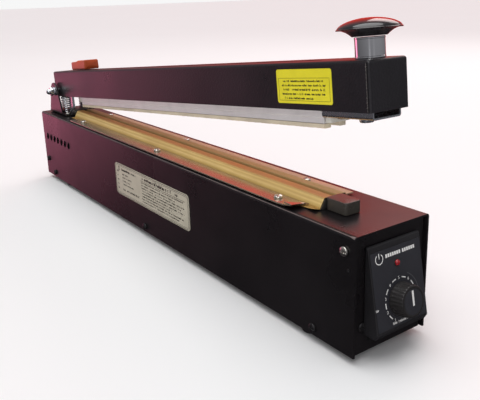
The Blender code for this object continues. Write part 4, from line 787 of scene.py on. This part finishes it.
timerDial()
consoleFace()
lamp()
print("hinge hardware, dial and console made")

# Feet and the cord bush.
rubber = dict(ribs=4, ribDepth=0.35 * mm)


def feetAndGland():
    for end in ("rear", "near"):
        for side in ("front", "back"):
            node = f"foot_{end}_{side}"
            low, high = (np.array(corner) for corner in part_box(node))
            radius, height = (high[0] - low[0]) / 2, high[2]
            profile = np.vstack([[(0, height)], arcPoints((radius - 0.8 * mm, height - 0.8 * mm), 0.8 * mm, 90, 0, 5),
                                 arcPoints((radius - 2.0 * mm, 0.8 * mm), 0.8 * mm, 0, -90, 5),
                                 [(2.9 * mm, 0), (2.5 * mm, 0.4 * mm), (2.3 * mm, 2.2 * mm), (0, 2.2 * mm)]])
            place = onTop((low[0] + high[0]) / 2, (low[1] + high[1]) / 2, 0)
            finished(node + "_tread", placed(lathe(profile, 56), place), footRubber, "base", [node])
    low, high = (np.array(corner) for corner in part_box("cord_gland"))
    middle = (low + high) / 2
    nose, flange, bore = -low[0] + high[0], (high[1] - low[1]) / 2, 3.6 * mm
    inside = 5 * mm
    step = np.linspace(0, 1, 8 * rubber["ribs"] + 1)
    reach = nose - inside - 2.8 * mm - 0.6 * mm
    groove = rubber["ribDepth"] * (0.5 - 0.5 * np.cos(step * 2 * np.pi * rubber["ribs"]))
    ribs = np.column_stack([flange - 2 * mm - 1.1 * mm * step - groove,
                            2.8 * mm + reach * step])
    profile = np.vstack([[(bore, -inside), (flange - 2 * mm, -inside), (flange - 2 * mm, 0.3 * mm), (flange, 0.3 * mm),
                          (flange, 2 * mm), (flange - 0.7 * mm, 2.7 * mm)], ribs,
                         [(bore + 0.5 * mm, nose - inside), (bore, nose - inside), (bore, -inside)]])
    place = onRear(high[0] - inside, middle[1], middle[2])
    finished("cordBush", placed(lathe(profile, 64), place), footRubber, "base", ["cord_gland"], 50)


feetAndGland()

# Sealing bar: coated glass cloth drawn over it, clamp strips and moulded end blocks.
cloth = dict(tuck=4.6 * mm, wave=0.18 * mm, slopeWave=0.32 * mm, stations=520, acrossSteps=72, thickness=0.12 * mm,
             topHalf=9.3 * mm, footHalf=13.1 * mm, grooveHalf=2.0 * mm)


def glassClothFinish():
    material = newFinish("glassCloth", (0.7, 0.48, 0.17), 0.42, Specular_IOR_Level=0.5)
    uv = addNode(material, "ShaderNodeUVMap", uv_map="clothMap")
    apart = addNode(material, "ShaderNodeSeparateXYZ")
    link(material, uv.outputs["UV"], apart.inputs[0])
    streaky = noise(material, coordinates(material, scale=(6, 420, 420)), 1, detail=5)
    shifted = calculated(material, "ADD", apart.outputs["X"],
                         calculated(material, "MULTIPLY", calculated(material, "SUBTRACT", streaky, 0.5), 0.003))
    share = mapped(material, shifted, 0, 0.0471, 0, 1)
    # colour bands across the cloth's section, partly heat-browned bands along the elements and partly painted light: a
    # bright painted highlight on the front slope, darker painted shade over the top and a dark painted shade line in
    # the groove
    heatBandsAndFaceShading = ramp(material, share, [
        (0.08, (0.5, 0.3, 0.09)), (0.115, (0.64, 0.42, 0.12)), (0.145, (0.8, 0.56, 0.18)), (0.18, (0.98, 0.73, 0.3)),
        (0.21, (0.74, 0.5, 0.16)), (0.24, (0.95, 0.7, 0.27)), (0.275, (0.6, 0.34, 0.11)), (0.34, (0.52, 0.24, 0.08)),
        (0.42, (0.58, 0.31, 0.1)), (0.46, (0.34, 0.16, 0.05)), (0.54, (0.36, 0.19, 0.06)), (0.58, (0.44, 0.33, 0.13)),
        (0.66, (0.46, 0.36, 0.15)), (0.74, (0.5, 0.42, 0.2)), (0.8, (0.55, 0.4, 0.16)), (0.9, (0.4, 0.25, 0.08))])
    blotch = noise(material, coordinates(material, scale=(1, 4, 1)), 22, detail=6)
    toned = mixed(material, mapped(material, blotch, 0.42, 0.66, 0, 0.3), heatBandsAndFaceShading, (0.5, 0.3, 0.1))
    weft = addNode(material, "ShaderNodeTexWave", bands_direction="X", wave_profile="SIN")
    warp = addNode(material, "ShaderNodeTexWave", bands_direction="Y", wave_profile="SIN")
    for threads in (weft, warp):
        threads.inputs["Scale"].default_value = 370
        threads.inputs["Distortion"].default_value = 0.6
        threads.inputs["Detail"].default_value = 2
        link(material, uv.outputs["UV"], threads.inputs["Vector"])
    weave = calculated(material, "MULTIPLY", weft.outputs["Fac"], warp.outputs["Fac"])
    setColour(material, mixed(material, mapped(material, weave, 0, 1, 0.14, 0), toned, (0.3, 0.16, 0.05)))
    setRoughness(material, mapped(material, blotch, 0.3, 0.7, 0.3, 0.5))
    relief = calculated(material, "ADD", weave, calculated(material, "MULTIPLY", streaky, 0.8))
    setBump(material, relief, 0.35, 0.12 * mm)
    return material


glassCloth = glassClothFinish()


def clothSurface():
    # section: foot, slope, top and groove as one bent line, evenly spaced by its length, carried along X;
    # small waves lift the slopes and pucker the top between the strips' screws
    low, high = (np.array(corner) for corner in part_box("seal_cloth"))
    foot, top = low[2] + 0.35 * mm, high[2] - 0.15 * mm
    shoulder, dip = foot + 1.1 * mm, top - 2.0 * mm
    half = [(cloth["footHalf"] + cloth["tuck"], foot), (cloth["footHalf"], foot), (cloth["footHalf"], shoulder),
            (cloth["topHalf"], top), (cloth["grooveHalf"], top), (0.6 * cloth["grooveHalf"], dip)]
    line = np.array([(-y, z) for y, z in half] + half[::-1])
    walked = np.concatenate([[0], np.cumsum(np.linalg.norm(np.diff(line, axis=0), axis=1))])
    even = np.linspace(0, walked[-1], cloth["acrossSteps"])
    section = np.column_stack([np.interp(even, walked, line[:, 0]), np.interp(even, walked, line[:, 1])])
    x = np.linspace(low[0] + 0.5 * mm, high[0] - 0.2 * mm, cloth["stations"])
    y, z = np.meshgrid(np.ones(len(x)), section[:, 0], indexing="ij")[1], np.tile(section[:, 1], (len(x), 1))
    along = x[:, None]
    slope = np.clip(1 - np.abs(np.abs(y) - 11.2 * mm) / (2 * mm), 0, 1)
    ripple = np.sin(along * 92 + np.sign(y) * 1.3) * np.sin(along * 31 + 0.7) + 0.5 * np.sin(along * 233 + y * 160)
    flat = np.clip(1 - np.abs(np.abs(y) - 5.5 * mm) / (3.4 * mm), 0, 1)
    y = y + np.sign(y) * slope * cloth["slopeWave"] * (0.5 + 0.5 * ripple)
    z = z - flat * cloth["wave"] * (0.5 + 0.5 * np.sin(along * 57) * np.sin(along * 173 + y * 420))
    nearEnd = np.clip((along - (x[-1] - 16 * mm)) / (16 * mm), 0, 1)
    fold = nearEnd ** 2 * np.clip((-y - 12.6 * mm) / (5 * mm), 0, 1)
    z = z + 1.5 * mm * fold
    grid = np.stack([along + 0 * y, sealLine + y, z], axis=-1)
    uv = np.stack([np.tile(even, (len(x), 1)), along + 0 * y], axis=-1)
    return grid, uv.reshape(-1, 2), (even[-1], x[-1] - x[0])


def sealCloth():
    grid, uv, flat = clothSurface()
    piece = finished("sealCloth", skin(grid[:, ::-1]), glassCloth, "base", ["seal_cloth"], 70,
                     tidy=False)
    mesh = piece.data
    if mesh.polygons[len(mesh.polygons) // 2].normal.z < 0:
        mesh.flip_normals()
    uv = uv.reshape(grid.shape[0], grid.shape[1], 2)[:, ::-1].reshape(-1, 2)
    layer = mesh.uv_layers.new(name="clothMap")
    corners = np.empty(len(mesh.loops), int)
    mesh.loops.foreach_get("vertex_index", corners)
    layer.data.foreach_set("uv", uv[corners].ravel())
    wall = piece.modifiers.new("thickness", "SOLIDIFY")
    wall.thickness, wall.offset = cloth["thickness"], -1


strip = dict(curlLength=20 * mm, curlRise=2.6 * mm, wave=0.1 * mm, edge=0.25 * mm)


def clampStrip(side):
    # a flat bar carried along X with a faint wave; the front one's near end lifts along its outer edge
    low, high = (np.array(corner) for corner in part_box(f"{side}_clamp_strip"))
    x = np.linspace(low[0], high[0], 300)
    edge, thick = strip["edge"], high[2] - low[2]
    middle = (low[1] + high[1]) / 2
    half = (high[1] - low[1]) / 2
    across = np.linspace(-half + edge, half - edge, 9)
    section = np.vstack([np.column_stack([across, np.full(9, thick)]), [(half, thick - edge), (half, 0.1 * mm)],
                         np.column_stack([across[::-1], np.full(9, 0.05 * mm)]),
                         [(-half, 0.1 * mm), (-half, thick - edge)]])
    share = np.clip((x - (high[0] - strip["curlLength"])) / strip["curlLength"], 0, 1)[:, None]
    outer = 0.5 - 0.5 * section[None, :, 0] / half
    curl = strip["curlRise"] * share ** 2 * (0.35 + 0.65 * outer) if side == "front" else 0 * share
    upper = section[None, :, 1] > 0.5 * mm
    lift = low[2] + section[None, :, 1] + curl - strip["wave"] * 0.3 * (1 + np.sin(x * 60))[:, None] * upper
    cut = -9 * mm * outer * (x[:, None] > high[0] - 1e-9) if side == "front" else 0
    grid = np.stack([x[:, None] + cut + 0 * lift, middle + section[None, :, 0] + 0 * lift, lift], axis=-1)
    finished(f"{side}ClampStrip", skin(grid, around=True, capStart=True, capEnd=True),
             frontStrip if side == "front" else backStrip, "base",
             [f"{side}_clamp_strip"], 40)


def endBlocks():
    for end in ("near", "far"):
        low, high = (np.array(corner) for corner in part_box(f"{end}_terminal_block"))
        size, centre = high - low, (low + high) / 2
        body = block(size[0], size[1], size[2], 2.6 * mm, 0.5 * mm)
        finished(f"{end}EndBlock", placed(body, onTop(centre[0], centre[1], low[2])), blockPlastic, "base",
                 [f"{end}_terminal_block"], 30)


sealCloth()
clampStrip("front")
clampStrip("back")
endBlocks()
print("sealing bar made")

# Press arm: silicone pads with a slightly ragged lip, fittings under the near end, seam, slot edge and label.
pads = dict(stations=640, ragged=0.32 * mm, corner=0.9 * mm)


def pressPad(side):
    # section: a strip with rounded lower corners; its lip's height wavers along the length by summed sines
    low, high = armBox(f"{side}_press_pad")
    x = np.linspace(low[0], high[0], pads["stations"])
    half, middle, corner = (high[1] - low[1]) / 2, (low[1] + high[1]) / 2, pads["corner"]
    lip = np.vstack([arcPoints((-half + corner, low[2] + corner), corner, 180, 270, 5),
                     arcPoints((half - corner, low[2] + corner), corner, 270, 360, 5)])
    section = np.vstack([lip, [(half, high[2]), (-half, high[2])]])
    waver = sum(np.sin(x * rate + phase) for rate, phase in ((310, 0.4), (517, 2.1), (823, 4.4), (1470, 1.2))) / 4
    depth = np.clip((high[2] - section[:, 1]) / (high[2] - low[2]), 0, 1) ** 2
    height = section[None, :, 1] + pads["ragged"] * (0.5 + 0.5 * waver)[:, None] * depth[None, :]
    local = np.stack([x[:, None] + 0 * height, middle + section[None, :, 0] + 0 * height, height], axis=-1)
    finished(f"{side}PressPad", skin(pivot + local @ armAxes, around=True, capStart=True, capEnd=True), siliconePad, "arm",
             [f"{side}_press_pad"], 50)


def armFittings():
    low, high = armBox("arm_end_bracket")
    coverLow = armBox("arm_cover")[0]
    middle = (low[0] + high[0]) / 2
    screw = placed(screwSurface(3.4 * mm, 2.2 * mm, 2 * mm, 1.5 * mm),
                   armPlace(low[0] + 4.5 * mm, 0, low[2] - 0.1 * mm, (1, 0, 0), (0, -1, 0)))
    finished("armEndScrew", screw, nickel, "arm")
    nut = placed(hexagon(8 * mm, 0, 3 * mm), armPlace(middle + 5 * mm, 0, low[2] - 0.1 * mm, (1, 0, 0), (0, -1, 0)))
    finished("armEndNut", nut, zinc, "arm")
    channelLow, channelHigh = armBox("press_channel")
    plug = block(5 * mm, 17 * mm, 6 * mm, 1 * mm, 0.4 * mm)
    finished("channelEndPlug", placed(plug, armPlace(channelHigh[0] + 2.9 * mm, 0, coverLow[2] - 8.8 * mm)), nylonPlastic, "arm")


def armSeam():
    # the open corner of the folded cover: a dark slit with chipped bright metal beside it, uneven along its height
    low, high = armBox("arm_cover")
    height = np.linspace(low[2] + 0.4 * mm, high[2] - 1.6 * mm, 90)
    dice = np.random.default_rng(11)
    chipped = np.convolve(dice.random(len(height)), np.ones(3) / 3, mode="same")
    width = 0.25 * mm + 0.95 * mm * np.clip(chipped - 0.2, 0, 1)
    start = high[0] - 2.1 * mm
    local = np.stack([np.stack([start - width, height, 0 * height + 0.04 * mm], -1),
                      np.stack([start - width, height, 0 * height + 0.1 * mm], -1),
                      np.stack([start + 0.3 * width, height, 0 * height + 0.1 * mm], -1),
                      np.stack([start + 0.3 * width, height, 0 * height + 0.04 * mm], -1)], axis=1)
    place = armPlace(0, low[1], 0, (1, 0, 0), (0, 0, 1))
    finished("armSeamEdge", placed(skin(local, around=True, capStart=True, capEnd=True), place), nickel, "arm")
    slit = boxes([(start + 0.35 * mm, start + 0.8 * mm, low[2] + 0.3 * mm, high[2] - 1.5 * mm)], 0.03 * mm, 0.08 * mm)
    finished("armSeamSlit", placed(slit, place), holeBlack, "arm")


warning = dict(fromEnd=30.6 * mm, length=53.4 * mm, low=4 * mm, height=22 * mm, corner=1.6 * mm, thickness=0.12 * mm)


def armLabel():
    low, high = armBox("arm_cover")
    length, height = warning["length"], warning["height"]
    place = armPlace(high[0] - warning["fromEnd"] - length / 2, low[1],
                     low[2] + warning["low"] + height / 2, (1, 0, 0), (0, 0, 1))
    shift = (place[0] + place[1][2] * 0.05 * mm, place[1])
    finished("armLabel", placed(plate(length, height, warning["corner"], warning["thickness"], 0.04 * mm), shift),
             labelYellow, "arm")
    high = warning["thickness"] + 0.07 * mm
    rowHeight, pitch = 1.35 * mm, 2.75 * mm
    left, first = -length / 2 + 5.4 * mm, height / 2 - 8.2 * mm
    lengths = (40 * mm, 43 * mm, 41.5 * mm, 42 * mm, 30 * mm)
    rows = [(left + (0 if n % 2 else 1.4 * mm), first - pitch * n, long, rowHeight, 0.26)
            for n, long in enumerate(lengths)]
    border = frameLine(length - 4 * mm, height - 7.4 * mm, 0.25 * mm, 0.18 * mm, high, high + 0.03 * mm)
    border["points"] = border["points"] + np.array([0, -1.9 * mm, 0])
    ink = joined([boxes(markRows(rows, 21), high, high + 0.03 * mm), border])
    finished("armLabelPrint", placed(ink, place), inkBlack, "arm")


pressPad("front")
pressPad("back")
armFittings()
armSeam()
armLabel()

# Bag cutter grip: a rounded block with a saddle worn into its top, lower at the rear.
grip = dict(corner=1.6 * mm, edge=1.1 * mm, rearDrop=1.5 * mm, stations=60)


def cutterGrip():
    # section across = a rounded rectangle; its top falls by a smooth step towards the rear
    low, high = armBox("cutter_knob")
    length, half = high[0] - low[0], (high[1] - low[1]) / 2
    tall = high[2] - low[2]
    share = np.linspace(0, 1, grip["stations"])
    x = low[0] + length * share
    outline = roundedOutline(2 * half, tall, grip["corner"]) + np.array([0, tall / 2])
    endFade = np.minimum(share, 1 - share) * length
    inset = grip["edge"] * (1 - np.sqrt(np.clip(1 - (1 - np.clip(endFade / grip["edge"], 0, 1)) ** 2, 0, 1)))
    smooth = np.clip((share - 0.25) / 0.3, 0, 1)
    drop = grip["rearDrop"] * (1 - smooth ** 2 * (3 - 2 * smooth)) + 0.35 * mm * np.exp(-((share - 0.72) / 0.16) ** 2)
    upper = np.clip(outline[:, 1] / tall, 0, 1)
    across = outline[None, :, 0] * (1 - inset / half)[:, None] * (1 - 0.05 * upper[None, :])
    height = low[2] + tall / 2 + (outline[None, :, 1] - tall / 2) * (1 - 2 * inset / tall)[:, None]
    height = height - drop[:, None] * upper[None, :]
    lean = (1 - upper[None, :]) * 1.1 * mm * np.clip(1 - share / 0.12, 0, 1)[:, None]
    local = np.stack([x[:, None] + lean, (low[1] + high[1]) / 2 + across, height], axis=-1)
    finished("cutterGrip", skin(pivot + local @ armAxes, around=True, capStart=True, capEnd=True), gripPlastic, "cutter",
             ["cutter_knob"], 40)


cutterGrip()
print("press arm and cutter made")

# Casing details: instruction plate, pressed louvres beside the vents, a painted highlight line along the folded edge
# with rubbed paint at its near corner, end panel marks.
notice = dict(start=219 * mm, length=146 * mm, low=25.5 * mm, height=32.5 * mm, corner=4.2 * mm, thickness=0.3 * mm)


def instructionPlate():
    length, height = notice["length"], notice["height"]
    place = onFront(casingLow[0] + notice["start"] + length / 2, casingLow[1],
                    casingLow[2] + notice["low"] + height / 2)
    shift = (place[0] + np.array([0, -0.05 * mm, 0]), place[1])
    finished("instructionPlate", placed(plate(length, height, notice["corner"], notice["thickness"]), shift),
             plateCream, "base")
    high = notice["thickness"] + 0.07 * mm
    left, top = -length / 2, height / 2
    rows = [(left + 15 * mm, top - 6.4 * mm, 32 * mm, 2.3 * mm, 0.3),
            (left + 58 * mm, top - 6.2 * mm, 70 * mm, 3.0 * mm, 0.28)]
    rows += [(left + 5 * mm, top - (9 + 4.4 * n) * mm, 3 * mm, 2 * mm, 0.3) for n in range(5)]
    rows += [(left + 16 * mm, top - (10.5 + 3.4 * n) * mm, long * mm, 1.5 * mm, 0.24)
             for n, long in enumerate((14, 22, 17, 24))]
    rows += [(left + 16 * mm, top - 26.5 * mm, 36 * mm, 2.0 * mm, 0.3)]
    rows += [(left + 58 * mm, top - (9.6 + 2.65 * n) * mm, long * mm, 1.35 * mm, 0.24)
             for n, long in enumerate((80, 66, 80, 74, 80, 58, 80, 70))]
    borders = [frameLine(length - 2 * inset, height - 2 * inset, notice["corner"] - inset, line, high, high + 0.03 * mm)
               for inset, line in ((0.7 * mm, 0.4 * mm), (2.1 * mm, 0.25 * mm))]
    rule = boxes([(left + 57 * mm, left + 140 * mm, top - 7.6 * mm, top - 7.3 * mm)], high, high + 0.03 * mm)
    mark = arcBand((left + 9.5 * mm, top - 5 * mm), 1.9 * mm, 0.6 * mm, 0, 360, high, high + 0.03 * mm, 30)
    ink = joined([boxes(markRows(rows, 33), high, high + 0.03 * mm), rule, mark] + borders)
    finished("instructionPrint", placed(ink, place), inkBlack, "base")


louvre = dict(count=7, pitch=12 * mm, start=14 * mm, width=1.8 * mm, height=7 * mm, rise=1.3 * mm, middle=50 * mm)


def louvres():
    # each hood is half a lens: rise = height of a cosine bump across times one along, open towards the slot
    u, v = np.meshgrid(np.linspace(-1, 1, 15), np.linspace(0, 1, 9), indexing="ij")
    rise = louvre["rise"] * np.cos(u * np.pi / 2) ** 0.7 * np.sin(v * np.pi / 2) ** 0.8
    x, y = -3.6 * mm + v * 3.6 * mm, u * (louvre["height"] / 2 + 0.6 * mm)
    outer = np.stack([x, y, rise + 0.05 * mm], axis=-1)
    inner = np.stack([x, y, np.maximum(rise - 0.35 * mm, 0.02 * mm)], axis=-1)
    hood = skin(np.concatenate([outer, inner[:, ::-1]], axis=1), around=True, capStart=True, capEnd=True)
    for side, turnedTo, face, way in (("front", onFront, casingLow[1], 1), ("back", onBack, casingHigh[1], -1)):
        hoods = []
        for number in range(louvre["count"]):
            across = casingLow[0] + louvre["start"] + louvre["pitch"] * number
            place = turnedTo(across + (0 if way == 1 else louvre["width"]), face, casingLow[2] + louvre["middle"])
            hoods.append(placed(hood, place))
        finished(f"louvres_{side}", joined(hoods), casingPaint, "base", sharp=60)


def edgeSheenAndWearLine():
    # a hair-thin painted highlight line along the top front fold, standing in for the fold's sheen, wider at the near
    # corner where the paint is rubbed
    x = np.linspace(casingLow[0] + 1 * mm, casingHigh[0] - 0.6 * mm, 400)
    waver = 0.5 + 0.5 * np.sin(x * 70) * np.sin(x * 23 + 1) * np.sin(x * 311)
    nearCorner = np.exp(-((x - casingHigh[0]) / (3 * mm)) ** 2)
    width = 0.16 * mm + 0.16 * mm * waver + 0.7 * mm * nearCorner
    turn = np.radians([128, 135, 142])[None, :] + 0 * x[:, None]
    spread = (np.array([-1, 0, 1])[None, :] * width[:, None]) / (2.0 * mm)
    radius = 2.03 * mm
    centre = np.array([casingLow[1] + 2 * mm, casingHigh[2] - 2 * mm])
    upper = np.stack([x[:, None] + 0 * turn, centre[0] + radius * np.cos(np.radians(135) + spread),
                      centre[1] + radius * np.sin(np.radians(135) + spread)], axis=-1)
    lower = upper.copy()
    lower[..., 1] += 0.05 * mm
    lower[..., 2] -= 0.05 * mm
    grid = np.concatenate([upper, lower[:, ::-1]], axis=1)
    finished("casingWornEdge", skin(grid, around=True, capStart=True, capEnd=True), wornPaint, "base")


def endMarks():
    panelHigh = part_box("front_end_panel")[1]
    x = panelHigh[0] + 0.05 * mm
    y, z = casingLow[1], casingLow[2]
    head = placed(screwSurface(3 * mm, 1.6 * mm, 1 * mm, 1.4 * mm), onControlEnd(x, y + 8.7 * mm, z + 18.3 * mm))
    finished("endPanelScrew", head, blackScrew, "base")
    slot = placed(plate(2.2 * mm, 4.4 * mm, 0.8 * mm, 0.1 * mm, 0.03 * mm),
                  onControlEnd(x, y + 15.3 * mm, z + 8.8 * mm))
    finished("endPanelSlot", slot, holeBlack, "base")
    dot = placed(screwSurface(1.1 * mm, 0.8 * mm, 0.5 * mm, 0.6 * mm),
                 onFront(casingHigh[0] - 5.2 * mm, y - 0.05 * mm, z + 57.7 * mm))
    finished("casingRivet", dot, blackScrew, "base")


# bright metallic colour of the edge line: painted highlight along the fold, real rubbed paint only at the near corner
wornPaint = metal("wornPaint", dict(colour=(0.26, 0.2, 0.19), roughness=0.4, metallic=0.5, lineScale=500, bump=0.1))
instructionPlate()
louvres()
edgeSheenAndWearLine()
endMarks()
print("casing details made")

# Floor, light and camera.
stage = dict(floorColour=(0.92, 0.92, 0.92), floorSize=14.0)
sun = dict(overhead=2.1, width=62, lean=(0.1, -0.06), front=9, rear=8)


def floor():
    # one wide flat sheet
    size = stage["floorSize"]
    corners = np.array([[(-size, -size, 0), (-size, size, 0)], [(size, -size, 0), (size, size, 0)]], float)
    material = newFinish("paleFloor", stage["floorColour"], 0.75)
    shade = noise(material, coordinates(material), 1.5, detail=3)
    pale = stage["floorColour"]
    setColour(material, ramp(material, shade, [(0.2, pale), (0.8, tuple(0.985 * c for c in pale))]))
    mesh = meshOf("floor", skin(corners), tidy=False)
    if mesh.polygons[0].normal.z < 0:
        mesh.flip_normals()
    mesh.materials.append(material)
    piece = bpy.data.objects.new("floor", mesh)
    bpy.context.scene.collection.objects.link(piece)
    piece.visible_glossy = False


def areaLight(name, place, aim, size, power, colour=(1, 1, 1)):
    data = bpy.data.lights.new(name, "AREA")
    data.shape, data.size, data.size_y = "RECTANGLE", size[0], size[1]
    data.energy, data.color = power, colour
    lightObject = bpy.data.objects.new(name, data)
    lightObject.location = place
    lightObject.rotation_euler = (Vector(aim) - Vector(place)).to_track_quat("-Z", "Y").to_euler()
    lightObject.visible_camera = False
    bpy.context.scene.collection.objects.link(lightObject)


# The room round the floor: a soft grey with a pink glow far left and a dark red one behind, by direction only.
room = dict(grey=(0.25, 0.25, 0.262), below=(0.035, 0.032, 0.036), pink=(2.7, 0.72, 1.15), red=(1.0, 0.055, 0.035),
            pinkWay=(-0.975, -0.19, -0.11), redWay=(-0.64, 0.7, 0.3), pinkWidth=80, redWidth=10,
            white=(1.7, 1.7, 1.8), whiteTurns=(-50, -18), whiteDrop=-0.14, whiteWidth=170)


def roomLight():
    world = bpy.data.worlds.new("room")
    world.use_nodes = True
    bpy.context.scene.world = world
    tree = world.node_tree
    background = tree.nodes["Background"]
    way = tree.nodes.new("ShaderNodeTexCoord").outputs["Generated"]

    def lobe(direction, width):
        dot = tree.nodes.new("ShaderNodeVectorMath")
        dot.operation = "DOT_PRODUCT"
        tree.links.new(way, dot.inputs[0])
        dot.inputs[1].default_value = Vector(direction).normalized()
        power = tree.nodes.new("ShaderNodeMath")
        power.operation, power.use_clamp = "POWER", True
        floorAt = tree.nodes.new("ShaderNodeMath")
        floorAt.operation = "MAXIMUM"
        tree.links.new(dot.outputs["Value"], floorAt.inputs[0])
        floorAt.inputs[1].default_value = 0.0
        tree.links.new(floorAt.outputs["Value"], power.inputs[0])
        power.inputs[1].default_value = width
        return power.outputs["Value"]

    def blend(factor, first, second):
        mix = tree.nodes.new("ShaderNodeMix")
        mix.data_type = "RGBA"
        tree.links.new(factor, mix.inputs[0])
        for socket, value in ((mix.inputs[6], first), (mix.inputs[7], second)):
            if isinstance(value, tuple):
                socket.default_value = (*value, 1)
            else:
                tree.links.new(value, socket)
        return mix.outputs[2]

    apart = tree.nodes.new("ShaderNodeSeparateXYZ")
    tree.links.new(way, apart.inputs[0])
    height = tree.nodes.new("ShaderNodeMapRange")
    height.inputs["From Min"].default_value, height.inputs["From Max"].default_value = -0.25, 0.15
    tree.links.new(apart.outputs["Z"], height.inputs["Value"])
    colour = blend(height.outputs["Result"], room["below"], room["grey"])
    colour = blend(lobe(room["redWay"], room["redWidth"]), colour, room["red"])
    colour = blend(lobe(room["pinkWay"], room["pinkWidth"]), colour, room["pink"])
    for turn in room["whiteTurns"]:
        panel = (math.cos(math.radians(turn)), math.sin(math.radians(turn)), room["whiteDrop"])
        colour = blend(lobe(panel, room["whiteWidth"]), colour, room["white"])
    sight = tree.nodes.new("ShaderNodeLightPath")
    seen = blend(sight.outputs["Is Camera Ray"], colour, (0.93, 0.93, 0.93))
    tree.links.new(seen, background.inputs["Color"])
    background.inputs["Strength"].default_value = 1.0


def lights():
    data = bpy.data.lights.new("overhead", "SUN")
    data.energy, data.angle = sun["overhead"], math.radians(sun["width"])
    overhead = bpy.data.objects.new("overhead", data)
    overhead.rotation_euler = (*sun["lean"], 0)
    bpy.context.scene.collection.objects.link(overhead)
    areaLight("frontFill", (1.5, -1.5, 1.3), (0.1, 0, 0.1), (0.9, 1.1), sun["front"])
    areaLight("rearFill", (-0.6, 1.7, 1.5), (0, 0, 0.1), (1.4, 0.9), sun["rear"], (1, 0.96, 0.94))


# The camera stands off the near front corner, a little above the handle.
lens = dict(place=(0.799, -0.279, 0.2247), yaw=2.5225, pitch=-0.2729, roll=-0.0283, focal=47.18, across=10, down=-32.1)


def camera():
    yaw, pitch, roll = lens["yaw"], lens["pitch"], lens["roll"]
    forward = np.array([math.cos(yaw) * math.cos(pitch), math.sin(yaw) * math.cos(pitch), math.sin(pitch)])
    level = np.array([math.sin(yaw), -math.cos(yaw), 0])
    above = np.cross(level, forward)
    right = math.cos(roll) * level + math.sin(roll) * above
    up = -math.sin(roll) * level + math.cos(roll) * above
    place = (casingLow[0] + lens["place"][0], *lens["place"][1:])
    data = bpy.data.cameras.new("camera")
    data.lens, data.sensor_width = lens["focal"], 36
    data.shift_x, data.shift_y = -lens["across"] / 480, lens["down"] / 480
    data.clip_start, data.clip_end = 0.02, 60
    cameraObject = bpy.data.objects.new("camera", data)
    cameraObject.matrix_world = Matrix([(*row, place) for row, place in zip(np.stack([right, up, -forward], 1), place)]
                                       + [(0, 0, 0, 1)])
    bpy.context.scene.collection.objects.link(cameraObject)
    bpy.context.scene.camera = cameraObject


floor()
roomLight()
lights()
camera()
bpy.context.scene.view_settings.view_transform = "Standard"
print("stage set")
